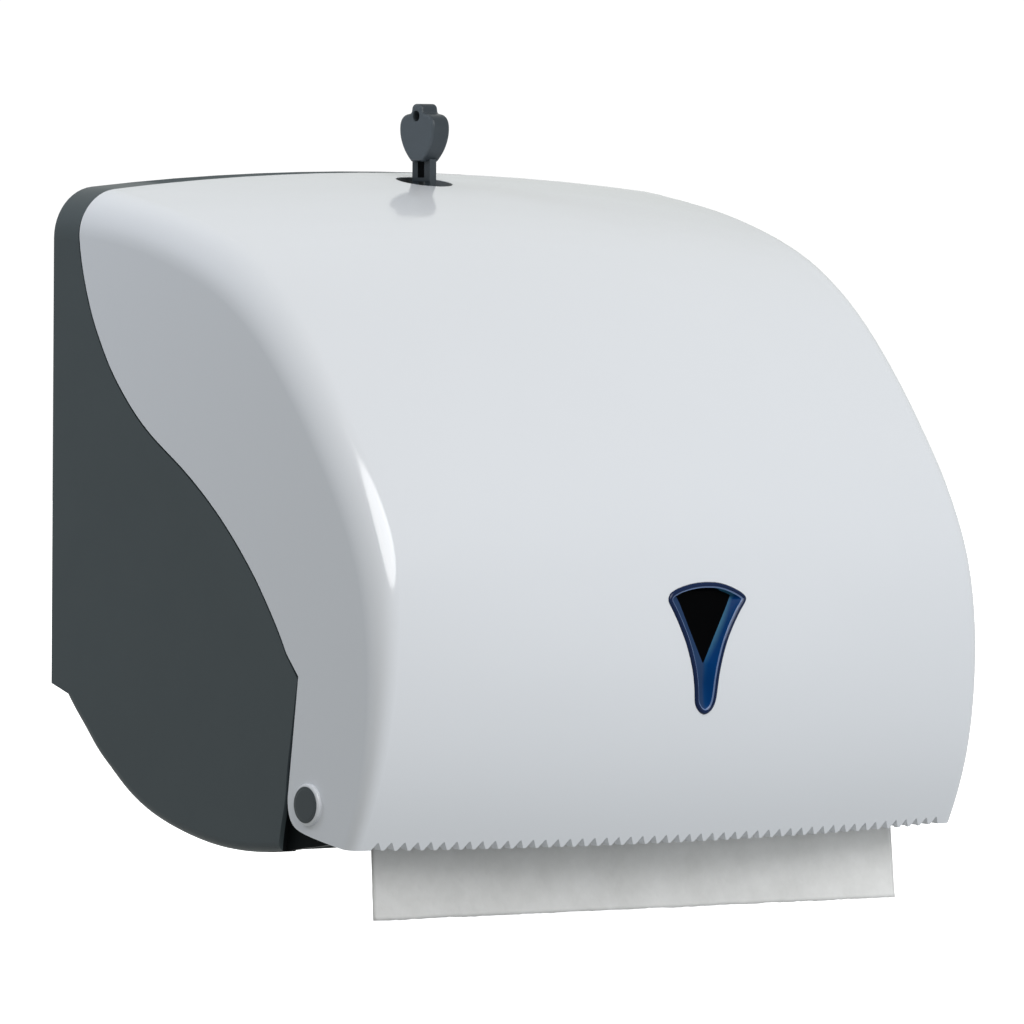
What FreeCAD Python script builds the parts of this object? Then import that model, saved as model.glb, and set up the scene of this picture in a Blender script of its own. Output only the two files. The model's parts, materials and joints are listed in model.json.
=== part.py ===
import FreeCAD, Part
import os
import math

# Wall-mounted roll towel dispenser.
# Frame: X to the right as seen from the front, -Y out of the wall towards the user,
# +Z up.  The origin is the centre of the four wall-screw holes on the back face (y = 0).
# Heights in the tables below are given above the tear edge; lv() moves them to the frame.

V = FreeCAD.Vector
doc = FreeCAD.newDocument("towel_dispenser")
sheet = doc.addObject("Spreadsheet::Sheet", "dims")
ROWS = [
    ("tear_edge_drop", 115.0), ("casing_half_width", 118.0), ("cover_wall", 2.6),
    ("casing_wall", 3.4), ("back_wall", 3.0), ("parting_gap", 0.6),
    ("flange_outer", 3.2), ("flange_inner", 5.4), ("flange_reach", 12.0),
    ("cover_back", 13.0), ("tooth_pitch", 4.549), ("tooth_depth", 2.4),
    ("tooth_count", 49), ("edge_bow", 1.14),
    ("wall_hole_radius", 2.75), ("wall_hole_x", 75.0), ("wall_hole_z", 50.0),
    ("pivot_front", 129.7), ("pivot_height", 12.8), ("pivot_radius", 5.25),
    ("pivot_clearance", 0.05), ("pivot_neck_radius", 3.5), ("ear_radius", 12.0),
    ("ear_thickness", 3.0), ("boss_radius", 6.3), ("boss_height", 1.3),
    ("lock_front", 32.9), ("lock_hole_radius", 8.85), ("barrel_head_radius", 8.5),
    ("barrel_radius", 7.0), ("lock_bore_radius", 7.05), ("lock_housing_radius", 12.0),
    ("lock_top", 195.6), ("lock_bottom", 179.0), ("cam_length", 16.0),
    ("cam_thickness", 2.5), ("key_thickness", 6.8), ("stem_half_width", 4.35),
    ("prong_thickness", 2.2), ("prong_gap", 3.24), ("prong_width", 2.7), ("prong_depth", 9.0),
    ("roll_front", 78.0), ("roll_height", 93.0), ("roll_radius", 60.0),
    ("roll_half_width", 101.5), ("core_outer_radius", 20.5), ("core_inner_radius", 19.0),
    ("plug_radius", 17.5), ("frame_inside", 103.5), ("frame_thickness", 2.5),
    ("feed_front", 122.0), ("feed_height", 20.0), ("feed_core_radius", 12.0),
    ("feed_radius", 15.0), ("feed_half_width", 92.0), ("feed_shaft_radius", 4.0),
    ("bush_radius", 6.0), ("running_clearance", 0.05),
    ("pinch_front", 145.0), ("pinch_radius", 7.0), ("pinch_core_radius", 5.0),
    ("pinch_shaft_radius", 2.0), ("rod_front", 148.0), ("rod_height", 46.0),
    ("rod_radius", 2.5), ("carriage_arm_x", 94.0), ("carriage_arm_thickness", 2.5),
    ("gear_module", 1.25), ("sector_teeth", 52), ("idler_teeth", 16),
    ("pinion_teeth", 12), ("gear_inside", 106.5), ("gear_width", 4.0),
    ("lever_front", 70.0), ("lever_height", 34.0), ("lever_shaft_radius", 4.5),
    ("lever_reach", 49.0), ("lever_rise", 12.0), ("lever_inside", 119.8),
    ("lever_thickness", 7.0), ("paddle_width", 17.0),
    ("arm_pin_x", 103.6), ("arm_pin_front", 10.0), ("arm_pin_radius", 2.0),
    ("arm_thickness", 2.0), ("arm_width", 20.0),
    ("tail_hinge_front", 138.3), ("tail_hinge_height", 8.0), ("tail_length_left", 29.8),
    ("tail_length_right", 31.0), ("paper_thickness", 0.4), ("window_proud", 0.9), ("window_sink", 2.1),
    ("belly_end", 99.0), ("belly_cut_half", 111.5),
]
for i, (alias, value) in enumerate(ROWS, 1):
    sheet.set("A%d" % i, alias)
    sheet.set("B%d" % i, repr(value))
    sheet.setAlias("B%d" % i, alias)
doc.recompute()


def d(alias):
    return float(sheet.get(alias))


DROP = d("tear_edge_drop")


def lv(z):
    return z - DROP


NODES = []


def keep(obj, label):
    obj.Label = label
    NODES.append(obj)
    return obj


def feature(label, shape, pos=None):
    obj = doc.addObject("Part::Feature", label)
    obj.Shape = shape
    if pos is not None:
        obj.Placement = FreeCAD.Placement(pos, FreeCAD.Rotation())
    return keep(obj, label)


# ---------------------------------------------------------------- sketch helpers

def origin_plane(body, role):
    for f in body.Origin.OriginFeatures:
        if f.Role == role:
            return f


def poly(points):
    pts = [V(a, b, 0) for a, b in points]
    return [Part.LineSegment(pts[i], pts[(i + 1) % len(pts)]) for i in range(len(pts))]


def ring(cx, cy, r):
    return Part.Circle(V(cx, cy, 0), V(0, 0, 1), r)


def rounded(points, radii):
    """Closed outline with each corner rounded by its own radius."""
    n = len(points)
    ins, outs, mids = [], [], []
    for i in range(n):
        p0 = V(points[i - 1][0], points[i - 1][1], 0)
        p1 = V(points[i][0], points[i][1], 0)
        p2 = V(points[(i + 1) % n][0], points[(i + 1) % n][1], 0)
        a = (p0 - p1).normalize()
        b = (p2 - p1).normalize()
        ang = math.acos(max(-1, min(1, a.dot(b))))
        r = radii[i] if isinstance(radii, (list, tuple)) else radii
        t = r / math.tan(ang / 2)
        c = p1 + (a + b).normalize() * (r / math.sin(ang / 2))
        ins.append(p1 + a * t)
        outs.append(p1 + b * t)
        mids.append(c + (p1 - c).normalize() * r)
    geo = []
    for i in range(n):
        if (outs[i] - ins[i]).Length > 1e-6:
            geo.append(Part.Arc(ins[i], mids[i], outs[i]))
        nxt = ins[(i + 1) % n]
        if (nxt - outs[i]).Length > 1e-6:
            geo.append(Part.LineSegment(outs[i], nxt))
    return geo


def pad(label, geo, length, base=(0, 0, 0), role="YZ_Plane", flip=False, tip=True):
    """A PartDesign body padded from one sketch on an origin plane."""
    body = doc.addObject("PartDesign::Body", label + "_body" if not tip else label)
    sk = body.newObject("Sketcher::SketchObject", label + "_sketch")
    sk.AttachmentSupport = [(origin_plane(body, role), "")]
    sk.MapMode = "FlatFace"
    sk.addGeometry(geo, False)
    p = body.newObject("PartDesign::Pad", label + "_pad")
    p.Profile = sk
    p.Length = 1.0
    if isinstance(length, str):
        p.setExpression("Length", length)
    else:
        p.Length = length
    p.Reversed = flip
    body.Tip = p
    body.Placement = FreeCAD.Placement(V(*base), FreeCAD.Rotation())
    doc.recompute()
    return body


def add_pad(body, name, geo, length, offset=0.0, role="YZ_Plane", flip=False, cut=False):
    sk = body.newObject("Sketcher::SketchObject", name + "_sketch")
    sk.AttachmentSupport = [(origin_plane(body, role), "")]
    sk.MapMode = "FlatFace"
    sk.AttachmentOffset = FreeCAD.Placement(V(0, 0, offset), FreeCAD.Rotation())
    sk.addGeometry(geo, False)
    kind = "PartDesign::Pocket" if cut else "PartDesign::Pad"
    p = body.newObject(kind, name)
    p.Profile = sk
    p.Length = 1.0
    if isinstance(length, str):
        p.setExpression("Length", length)
    else:
        p.Length = length
    p.Reversed = flip
    body.Tip = p
    doc.recompute()
    return p


def turned(label, profile, y=0.0, z=0.0, x=0.0):
    """A PartDesign revolution about an X-directed axis; profile is (x, r) points."""
    body = doc.addObject("PartDesign::Body", label)
    sk = body.newObject("Sketcher::SketchObject", label + "_sketch")
    sk.AttachmentSupport = [(origin_plane(body, "XY_Plane"), "")]
    sk.MapMode = "FlatFace"
    sk.addGeometry(poly(profile), False)
    rev = body.newObject("PartDesign::Revolution", label + "_turn")
    rev.Profile = sk
    rev.ReferenceAxis = (sk, ["H_Axis"])
    rev.Angle = 360.0
    body.Tip = rev
    body.Placement = FreeCAD.Placement(V(x, y, z), FreeCAD.Rotation())
    doc.recompute()
    return keep(body, label)


def cylinder(name, radius, height, pos, axis=V(1, 0, 0)):
    """Part::Cylinder whose radius and height are expressions on the sheet."""
    c = doc.addObject("Part::Cylinder", name)
    c.setExpression("Radius", radius) if isinstance(radius, str) else setattr(c, "Radius", radius)
    c.setExpression("Height", height) if isinstance(height, str) else setattr(c, "Height", height)
    c.Placement = FreeCAD.Placement(pos, FreeCAD.Rotation(V(0, 0, 1), axis))
    return c


def cut(name, base, tool):
    c = doc.addObject("Part::Cut", name)
    c.Base = base
    c.Tool = tool
    return c


def fuse(name, *objs):
    c = doc.addObject("Part::MultiFuse", name)
    c.Shapes = list(objs)
    return c


# ---------------------------------------------------------------- the hood surface
# Stations along the centre line of the skin, from behind the wall plane over the top and
# down the front: distance out of the wall, height above the tear edge, crown (how much
# lower the skin is at its side), corner radius to the flat side.
HOOD = [
    (-9.0, 200.70, 6.50, 16.0), (0.0, 200.55, 6.60, 15.8), (13.0, 199.85, 6.90, 14.9),
    (25.5, 198.35, 7.30, 14.0), (38.0, 196.35, 7.50, 13.5), (50.1, 194.1, 7.75, 13.4),
    (64.7, 190.5, 8.05, 13.5), (78.4, 186.2, 8.30, 13.6), (91.4, 180.7, 8.60, 13.3),
    (103.2, 173.6, 8.85, 12.8), (113.9, 165.4, 9.15, 12.2), (123.4, 156.4, 9.45, 11.7),
    (132.1, 147.1, 9.75, 11.4), (140.0, 137.7, 9.95, 11.2), (147.4, 128.0, 10.1, 11.1),
    (154.4, 118.1, 10.1, 11.0), (160.7, 107.7, 10.05, 10.8), (166.0, 96.7, 9.95, 10.5),
    (169.9, 85.0, 9.80, 9.9), (172.0, 72.9, 9.65, 9.0), (172.6, 60.6, 9.40, 8.0),
    (172.0, 48.3, 9.10, 7.1), (170.4, 36.1, 8.75, 6.3), (167.7, 24.0, 8.35, 5.5),
    (163.8, 12.2, 8.05, 4.8), (158.6, 0.7, 7.75, 4.3), (152.6, -10.5, 7.5, 4.3),
    (146.4, -21.0, 7.3, 4.3),
]
HALF = d("casing_half_width")
line2d = Part.BSplineCurve()
line2d.interpolate([V(0, -y, lv(z)) for y, z, c, r in HOOD])


def station(i):
    y, z, c, r = HOOD[i]
    p = V(0, -y, lv(z))
    t = line2d.tangent(line2d.parameter(p))[0]
    n = V(0, t.z, -t.y)
    if n.z * 1.0 + (-n.y) * 1.0 < 0:
        n = n * -1
    return p, n, c, r


def section(i, off, depth):
    """Closed arch across the hood at station i, moved inwards by off."""
    p, n, c, r = station(i)
    r = max(r, off + 0.9)
    rc = HALF * HALF / (2 * c)
    hc = -rc + math.sqrt((rc - r) ** 2 - (HALF - r) ** 2)
    ang = math.atan2(HALF - r, hc + rc)
    w = HALF - off

    def at(x, h_):
        return V(x, p.y + n.y * h_, p.z + n.z * h_)

    def crown(a):
        return at((rc - off) * math.sin(a), -rc + (rc - off) * math.cos(a))

    def corner(a, s):
        return at(s * ((HALF - r) + (r - off) * math.sin(a)), hc + (r - off) * math.cos(a))
    mid = (ang + math.pi / 2) / 2
    e = [Part.LineSegment(at(-w, -depth), at(-w, hc)).toShape(),
         Part.Arc(corner(math.pi / 2, -1), corner(mid, -1), corner(ang, -1)).toShape(),
         Part.Arc(crown(-ang), crown(0), crown(ang)).toShape(),
         Part.Arc(corner(ang, 1), corner(mid, 1), corner(math.pi / 2, 1)).toShape(),
         Part.LineSegment(at(w, hc), at(w, -depth)).toShape(),
         Part.LineSegment(at(w, -depth), at(-w, -depth)).toShape()]
    return Part.Wire(e)


DEPTH = [78] * 14 + [76, 74, 73, 72, 71, 70, 68, 64, 60, 58, 58, 58, 58, 58]


def band(off, extra=0.0, first=0, last=None):
    last = len(HOOD) if last is None else last
    wires = [section(i, off, DEPTH[i] + extra) for i in range(first, last)]
    return Part.makeLoft(wires, True, False, False)


def prism_yz(edges, half):
    """Solid from closed (y, z) edges, from -half to +half along X."""
    w = Part.Wire(edges)
    f = Part.Face(w)
    s = f.extrude(V(2 * half, 0, 0))
    s.translate(V(-half, 0, 0))
    return s


def pt(y, z):
    return V(0, -y, lv(z))


def seg(a, b):
    return Part.LineSegment(a, b).toShape()


def spl(points):
    c = Part.BSplineCurve()
    c.interpolate(points)
    return c.toShape()


def chain(points):
    return [seg(points[i], points[i + 1]) for i in range(len(points) - 1)]


# The parting line on the side: (out of the wall, height above the tear edge)
PARTING = [
    (13.0, 184.0), (13.55, 177.0), (15.1, 169.7), (17.4, 162.4), (20.4, 155.1),
    (24.4, 147.9), (29.1, 140.7), (35.1, 133.6), (42.4, 126.5), (51.7, 119.5),
    (63.3, 112.5), (73.7, 105.6), (82.7, 98.7), (90.5, 91.8), (97.5, 84.8),
    (103.7, 77.9), (109.1, 71.0), (114.1, 64.0), (118.4, 57.1),
]
PARTING_TIP = (124.2, 50.6)
LOWER = [
    (119.4, 14.3), (119.55, 11.6), (120.6, 8.2), (122.5, 6.0), (125.2, 4.65),
    (129.0, 3.6), (133.5, 2.65), (139.2, 1.65), (145.2, 0.6), (151.2, 0.1),
]
BELLY = [
    (5.5, 41.2), (10.7, 35.2), (16.5, 29.4), (22.2, 23.6), (29.4, 17.9), (37.2, 12.2),
    (47.4, 6.7), (63.1, 1.5), (76.2, -1.3), (91.2, -2.9), (103.0, -2.95), (115.0, -2.1),
]


def offset_line(points, dist):
    """Points moved sideways by dist (to the left of travel in the y, z plane)."""
    out = []
    for i, (y, z) in enumerate(points):
        a = points[max(i - 1, 0)]
        b = points[min(i + 1, len(points) - 1)]
        ty, tz = b[0] - a[0], b[1] - a[1]
        m = math.hypot(ty, tz)
        out.append((y - tz / m * dist, z + ty / m * dist))
    return out


# ---------------------------------------------------------------- front cover
TC = d("cover_wall")
GAP = d("parting_gap")
PY, PZ = -d("pivot_front"), lv(d("pivot_height"))

hood0 = band(0.0)
hood_in = band(TC, 6.0)
part_pts = [pt(*q) for q in PARTING]
low_pts = [pt(*q) for q in LOWER]
cover_region = prism_yz(
    [seg(pt(13.0, 240), part_pts[0]), spl(part_pts), seg(part_pts[-1], pt(*PARTING_TIP)),
     seg(pt(*PARTING_TIP), low_pts[0]), spl(low_pts), seg(low_pts[-1], pt(151.5, -8)),
     seg(pt(151.5, -8), pt(200, -8)), seg(pt(200, -8), pt(200, 240)),
     seg(pt(200, 240), pt(13.0, 240))], 130)
shell = hood0.cut(hood_in).common(cover_region)

# bottom edge: a shallow bow with a row of teeth
bow = d("edge_bow")
edge = Part.Wire([
    Part.Arc(V(-108, -145, lv(0)), V(0, -145, lv(-bow)), V(108, -145, lv(0))).toShape(),
    seg(V(108, -145, lv(0)), V(130, -145, lv(0))), seg(V(130, -145, lv(0)), V(130, -145, lv(-20))),
    seg(V(130, -145, lv(-20)), V(-130, -145, lv(-20))), seg(V(-130, -145, lv(-20)), V(-130, -145, lv(0))),
    seg(V(-130, -145, lv(0)), V(-108, -145, lv(0)))])
below = Part.Face(edge).extrude(V(0, -40, 0))
shell = shell.cut(below)
pitch, tooth = d("tooth_pitch"), d("tooth_depth")
count = int(d("tooth_count"))
notches = []
for k in range(count):
    x = (k - (count - 1) / 2.0) * pitch
    zb = lv(-bow * (1 - min(1.0, (x / 108.0) ** 2)))
    hw = 0.39 * pitch
    over = 1.0
    a = hw * (tooth + over) / tooth
    w = Part.makePolygon([V(x - a, -140, zb - over), V(x - 0.22, -140, zb + tooth),
                          V(x + 0.22, -140, zb + tooth), V(x + a, -140, zb - over),
                          V(x - a, -140, zb - over)])
    notches.append(Part.Face(w).extrude(V(0, -40, 0)))
shell = shell.cut(Part.makeCompound(notches))

# raised rings round the pivots and the pivot holes
boss_r, boss_h = d("boss_radius"), d("boss_height")
hole_r = d("pivot_radius") + d("pivot_clearance")
for s in (-1, 1):
    boss = Part.makeCylinder(boss_r, boss_h + 1.0, V(s * (HALF - 1.0), PY, PZ), V(s, 0, 0))
    top = [e for e in boss.Edges if abs(e.BoundBox.XMin - s * (HALF + boss_h)) < 1e-6
           and abs(e.BoundBox.XMax - s * (HALF + boss_h)) < 1e-6]
    boss = boss.makeFillet(0.75, top)
    shell = shell.fuse(boss)
    shell = shell.cut(Part.makeCylinder(hole_r, 12, V(s * (HALF - 8), PY, PZ), V(s, 0, 0)))

# round opening for the lock on top
LY = -d("lock_front")
shell = shell.cut(Part.makeCylinder(d("lock_hole_radius"), 40, V(0, LY, lv(175)), V(0, 0, 1)))

# fan-shaped window opening
WINDOW = [(-15.2, 73.0), (-14.5, 74.6), (-13.0, 75.6), (-11.0, 76.4), (-8.4, 77.1), (-5.2, 77.7),
          (-1.9, 78.0), (1.4, 78.0), (4.6, 77.75), (7.3, 77.15), (9.8, 76.35), (12.1, 75.35),
          (14.1, 74.2), (15.1, 72.9), (14.7, 71.7), (13.1, 69.7), (11.2, 67.1), (9.0, 63.5),
          (7.15, 59.6), (5.85, 55.6), (4.95, 51.6), (4.45, 47.6), (4.2, 44.0), (3.8, 41.6),
          (3.0, 39.9), (1.6, 38.6), (0.0, 38.1), (-1.6, 38.6), (-3.1, 39.9), (-4.1, 41.6),
          (-4.5, 44.0), (-5.05, 47.6), (-5.95, 51.6), (-7.2, 55.6), (-8.7, 59.6), (-10.5, 63.5),
          (-12.3, 67.1), (-13.7, 69.7), (-14.8, 71.6)]


def window_prism(grow, y0=-150.0, y1=-185.0):
    n = len(WINDOW)
    pts = []
    for i in range(n):
        a, b = WINDOW[i - 1], WINDOW[(i + 1) % n]
        tx, tz = b[0] - a[0], b[1] - a[1]
        m = math.hypot(tx, tz)
        x, z = WINDOW[i]
        pts.append(V(x - tz / m * grow, y0, lv(z + tx / m * grow)))
    c = Part.BSplineCurve()
    c.interpolate(pts, True)
    return Part.Face(Part.Wire([c.toShape()])).extrude(V(0, y1 - y0, 0))


shell = shell.cut(window_prism(0.0))
cover = shell.removeSplitter() if len(shell.Solids) == 1 else max(shell.Solids, key=lambda q: q.Volume)
feature("front_cover", cover)

# window lens: proud rim, sunk middle, snap flange behind the wall
lens_out = band(-d("window_proud"), 0, 12, 26)
lens_mid = band(d("window_sink"), 0, 12, 26)
lens_in = band(TC + 0.02, 0, 12, 26)
lens_back = band(TC + 1.6, 0, 12, 26)
grow0 = window_prism(-0.08)
rim = lens_out.common(grow0).cut(lens_in)
rim = rim.cut(window_prism(-1.6).common(lens_out.cut(lens_mid)))
flange = lens_in.cut(lens_back).common(window_prism(2.2))
plug = lens_out.cut(lens_back).common(window_prism(-0.8)).cut(lens_out.cut(lens_mid))
lens = rim.fuse(flange).fuse(plug).removeSplitter()
feature("level_window", lens)

# lock housing under the cover
lt, lb = lv(d("lock_top")), lv(d("lock_bottom"))
hous = Part.makeCylinder(d("lock_housing_radius"), 30, V(0, LY, lb), V(0, 0, 1))
hous = hous.common(band(TC + 0.02, 10, 0, 12))
hous = hous.cut(Part.makeCylinder(d("lock_bore_radius"), 60, V(0, LY, lb - 10), V(0, 0, 1)))
hous = hous.cut(Part.makeCylinder(d("lock_hole_radius"), 60, V(0, LY, lt - 3.4), V(0, 0, 1)))
feature("lock_housing", hous)

# ---------------------------------------------------------------- rear casing
TB, BW = d("casing_wall"), d("back_wall")


def arch(off, top_drop, y0, y1):
    """Straight arch extruded out of the wall, tilted like the hood's first stretch."""
    p, n, c, r = station(1)
    r = max(r, off + 0.9)
    rc = HALF * HALF / (2 * c)
    hc = -rc + math.sqrt((rc - r) ** 2 - (HALF - r) ** 2)
    ang = math.atan2(HALF - r, hc + rc)
    w = HALF - off
    zt = lv(HOOD[1][1]) - top_drop
    bottom = lv(-12)

    def at(x, h_):
        return V(x, y0, zt + h_)

    def crown(a):
        return at((rc - off) * math.sin(a), -rc + (rc - off) * math.cos(a))

    def corner(a, s):
        return at(s * ((HALF - r) + (r - off) * math.sin(a)), hc + (r - off) * math.cos(a))
    mid = (ang + math.pi / 2) / 2
    e = [seg(V(-w, y0, bottom), corner(math.pi / 2, -1)),
         Part.Arc(corner(math.pi / 2, -1), corner(mid, -1), corner(ang, -1)).toShape(),
         Part.Arc(crown(-ang), crown(0), crown(ang)).toShape(),
         Part.Arc(corner(ang, 1), corner(mid, 1), corner(math.pi / 2, 1)).toShape(),
         seg(corner(math.pi / 2, 1), V(w, y0, bottom)), seg(V(w, y0, bottom), V(-w, y0, bottom))]
    slope = (HOOD[2][1] - HOOD[1][1]) / HOOD[2][0]
    length = y1 - y0
    return Part.Face(Part.Wire(e)).extrude(V(0, length, slope * abs(length) * (1 if length < 0 else -1)))


skin_line = offset_line(PARTING, -GAP)
skin_line[0] = (13.0 - GAP, 184.0)
skin_front = [pt(115.0, -2.1), pt(116.7, 7.6), pt(118.2, 14.5), pt(118.75, 20.5), pt(119.6, 26.5)]
tip_in = pt(PARTING_TIP[0] - GAP * 0.9, PARTING_TIP[1] - GAP * 1.3)
outer_region = prism_yz(
    [seg(pt(0, 43.0), pt(*BELLY[0])), spl([pt(*q) for q in BELLY]), spl(skin_front),
     seg(skin_front[-1], tip_in), seg(tip_in, pt(*skin_line[-1])),
     spl([pt(*q) for q in reversed(skin_line)]), seg(pt(*skin_line[0]), pt(13.0 - GAP, 230)),
     seg(pt(13.0 - GAP, 230), pt(0, 230)), seg(pt(0, 230), pt(0, 43.0))], 130)
inner_belly = offset_line(BELLY, TB)
inner_region = prism_yz(
    chain([pt(BW, 230), pt(BW, 46.6)]) + [seg(pt(BW, 46.6), pt(*inner_belly[0])),
     spl([pt(*q) for q in inner_belly]), seg(pt(*inner_belly[-1]), pt(140, inner_belly[-1][1])),
     seg(pt(140, inner_belly[-1][1]), pt(140, 230)), seg(pt(140, 230), pt(BW, 230))], 125)
body0 = arch(0.0, 0.4, 0.0, -140.0).common(outer_region)
belly_edges = []
for e in body0.Edges:
    bb = e.BoundBox
    if bb.XMax - bb.XMin < 1e-6 and abs(abs(bb.XMin) - HALF) < 1e-6:
        if bb.ZMax < lv(41.3) and bb.YMax < -5.0 and bb.YMin > -115.2 and bb.YMax - bb.YMin > 50:
            belly_edges.append(e)
if belly_edges:
    body0 = body0.makeFillet(3.0, belly_edges)
casing = body0.cut(arch(TB, 0.4, 1.0, -141.0).common(inner_region))
# the belly panel stops short between the side walls, which leaves the mouth for the towel
belly_end, belly_half = d("belly_end"), d("belly_cut_half")
casing = casing.cut(Part.makeBox(2 * belly_half, 24.0, 11.0, V(-belly_half, -belly_end - 24.0, lv(-6.0))))

# recessed flange that runs on under the cover
FR = d("flange_reach")
back_line = offset_line(PARTING, -6.0)
front_line = offset_line(PARTING, FR)
flange_region = prism_yz(
    [spl([pt(*q) for q in back_line]), seg(pt(*back_line[-1]), pt(112.0, 30)),
     seg(pt(112.0, 30), pt(112.0, 1.6)), seg(pt(112.0, 1.6), pt(121.5, 4.0)),
     seg(pt(121.5, 4.0), pt(PY * -1 + 11.5, d("pivot_height"))),
     seg(pt(PY * -1 + 11.5, d("pivot_height")), pt(134.5, 40)),
     seg(pt(134.5, 40), pt(*front_line[-1])), spl([pt(*q) for q in reversed(front_line)]),
     seg(pt(*front_line[0]), pt(26, 230)), seg(pt(26, 230), pt(7.0, 230)),
     seg(pt(7.0, 230), pt(*back_line[0]))], 125)
fo, fi = d("flange_outer"), d("flange_inner")
lip = arch(fo, 0.9, 0.0, -150.0).cut(arch(fi, 0.9, 1.0, -151.0)).common(flange_region)
lip = lip.cut(prism_yz(chain([pt(-5, 230), pt(BW, 230), pt(BW, -30), pt(-5, -30), pt(-5, 230)]), 130))
root = arch(2.0, 0.4, 0.0, -30.0).cut(arch(fi, 0.9, 1.0, -31.0)).common(prism_yz(
    chain([pt(7.0, 230), pt(13.0 - GAP, 230), pt(13.0 - GAP, 186), pt(7.0, 186), pt(7.0, 230)]), 130))
lip = lip.fuse(root)
lip = lip.cut(Part.makeCylinder(13.4, 60, V(0, -d("lock_front"), lv(160)), V(0, 0, 1)))
casing = casing.fuse(lip)
et = d("ear_thickness")
for s in (-1, 1):
    x0 = s * (HALF - fo)
    ear = Part.makeCylinder(d("ear_radius"), et, V(x0, PY, PZ), V(-s, 0, 0))
    web = prism_yz([spl([pt(112.4, -1.95), pt(116.5, -1.65), pt(122.8, -0.62), pt(128.7, 0.11),
                         pt(135.0, 1.07), pt(138.0, 1.6)])] +
                   chain([pt(138.0, 1.6), pt(139.4, 18.0), pt(129.7, 24.8), pt(112.4, 30.0),
                          pt(112.4, -1.95)]), et / 2)
    web.translate(V(x0 - s * et / 2, 0, 0))
    casing = casing.fuse(ear).fuse(web)
    casing = casing.cut(Part.makeCylinder(d("pivot_neck_radius"), 12,
                                          V(s * (HALF + 1), PY, PZ), V(-s, 0, 0)))
# wall-screw holes
for sx in (-1, 1):
    for sz in (-1, 1):
        casing = casing.cut(Part.makeCylinder(d("wall_hole_radius"), 20,
                            V(sx * d("wall_hole_x"), 5, sz * d("wall_hole_z")), V(0, -1, 0)))
# lever shaft bush seat in the right side wall
HY, HZ = -d("lever_front"), lv(d("lever_height"))
casing = casing.cut(Part.makeCylinder(6.5, 10, V(110, HY, HZ), V(1, 0, 0)))
# screw bosses for the side frames
BOSS = [(97.0, 118.0), (97.0, 62.0), (-97.0, 62.0)]
for bx, bz in BOSS:
    b = Part.makeCylinder(4.5, 6.0, V(bx, -BW, lv(bz)), V(0, -1, 0))
    b = b.cut(Part.makeCylinder(1.5, 8.0, V(bx, -BW - 1.5, lv(bz)), V(0, -1, 0)))
    casing = casing.fuse(b)
casing = casing.removeSplitter()
feature("rear_casing", casing if len(casing.Solids) == 1 else max(casing.Solids, key=lambda q: q.Volume))

# ---------------------------------------------------------------- hinge pins of the cover
for side, s in (("left", -1), ("right", 1)):
    pr, nr = d("pivot_radius"), d("pivot_neck_radius")
    prof = [(0, 0), (0, 4.4), (0.8, 4.4), (0.8, nr), (0.8 + et, nr), (0.8 + et, pr),
            (7.9, pr), (8.4, pr - 0.25), (8.6, pr - 0.8), (8.6, 0)]
    inner = HALF - fo - et - 0.8
    pin = turned("hinge_pin_" + side, [(s * a, b) for a, b in prof], PY, PZ, s * inner)

# ---------------------------------------------------------------- side frames
FI, FT = d("frame_inside"), d("frame_thickness")
FY, FZ = -d("feed_front"), lv(d("feed_height"))
RY, RZ = -d("roll_front"), lv(d("roll_height"))
RODY, RODZ = -d("rod_front"), lv(d("rod_height"))
IX = None


def yz(y, z):
    return (-y, lv(z))


low_edge = [yz(9.2, 50), yz(30, 25.5), yz(48, 14.5), yz(64, 8.5), yz(80, 5.0), yz(112, 4.0),
            yz(136, 5.5), yz(149, 12), yz(155, 26), yz(156, 47), yz(149, 54), yz(130, 54)]
right_pts = low_edge + [yz(112, 66), yz(98, 92), yz(93, 110), yz(80, 116), yz(66, 114),
                        yz(40, 122), yz(9.2, 126)]
left_pts = low_edge + [yz(110, 58), yz(60, 66), yz(9.2, 74)]
r_geo = rounded(right_pts, [1.5, 8, 8, 8, 8, 8, 5, 6, 6, 5, 4, 6, 8, 8, 5, 6, 6, 10, 2])
l_geo = rounded(left_pts, [1.5, 8, 8, 8, 8, 8, 5, 6, 6, 5, 4, 6, 10, 10, 2])
bush_r = d("bush_radius")
clr = d("running_clearance")
rodr = d("rod_radius")
lsr = d("lever_shaft_radius")
# idler gear centre from the two gear centre distances
mod = d("gear_module")
NS, NI, NP = int(d("sector_teeth")), int(d("idler_teeth")), int(d("pinion_teeth"))
a1, a2 = mod * (NS + NI) / 2.0, mod * (NI + NP) / 2.0
dy, dz = FY - HY, FZ - HZ
dist = math.hypot(dy, dz)
along = (a1 * a1 - a2 * a2 + dist * dist) / (2 * dist)
up = math.sqrt(a1 * a1 - along * along)
IZ = HZ + dz / dist * along - (dy / dist) * up
IY = HY + dy / dist * along + (dz / dist) * up
stud_r = 3.0

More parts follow.
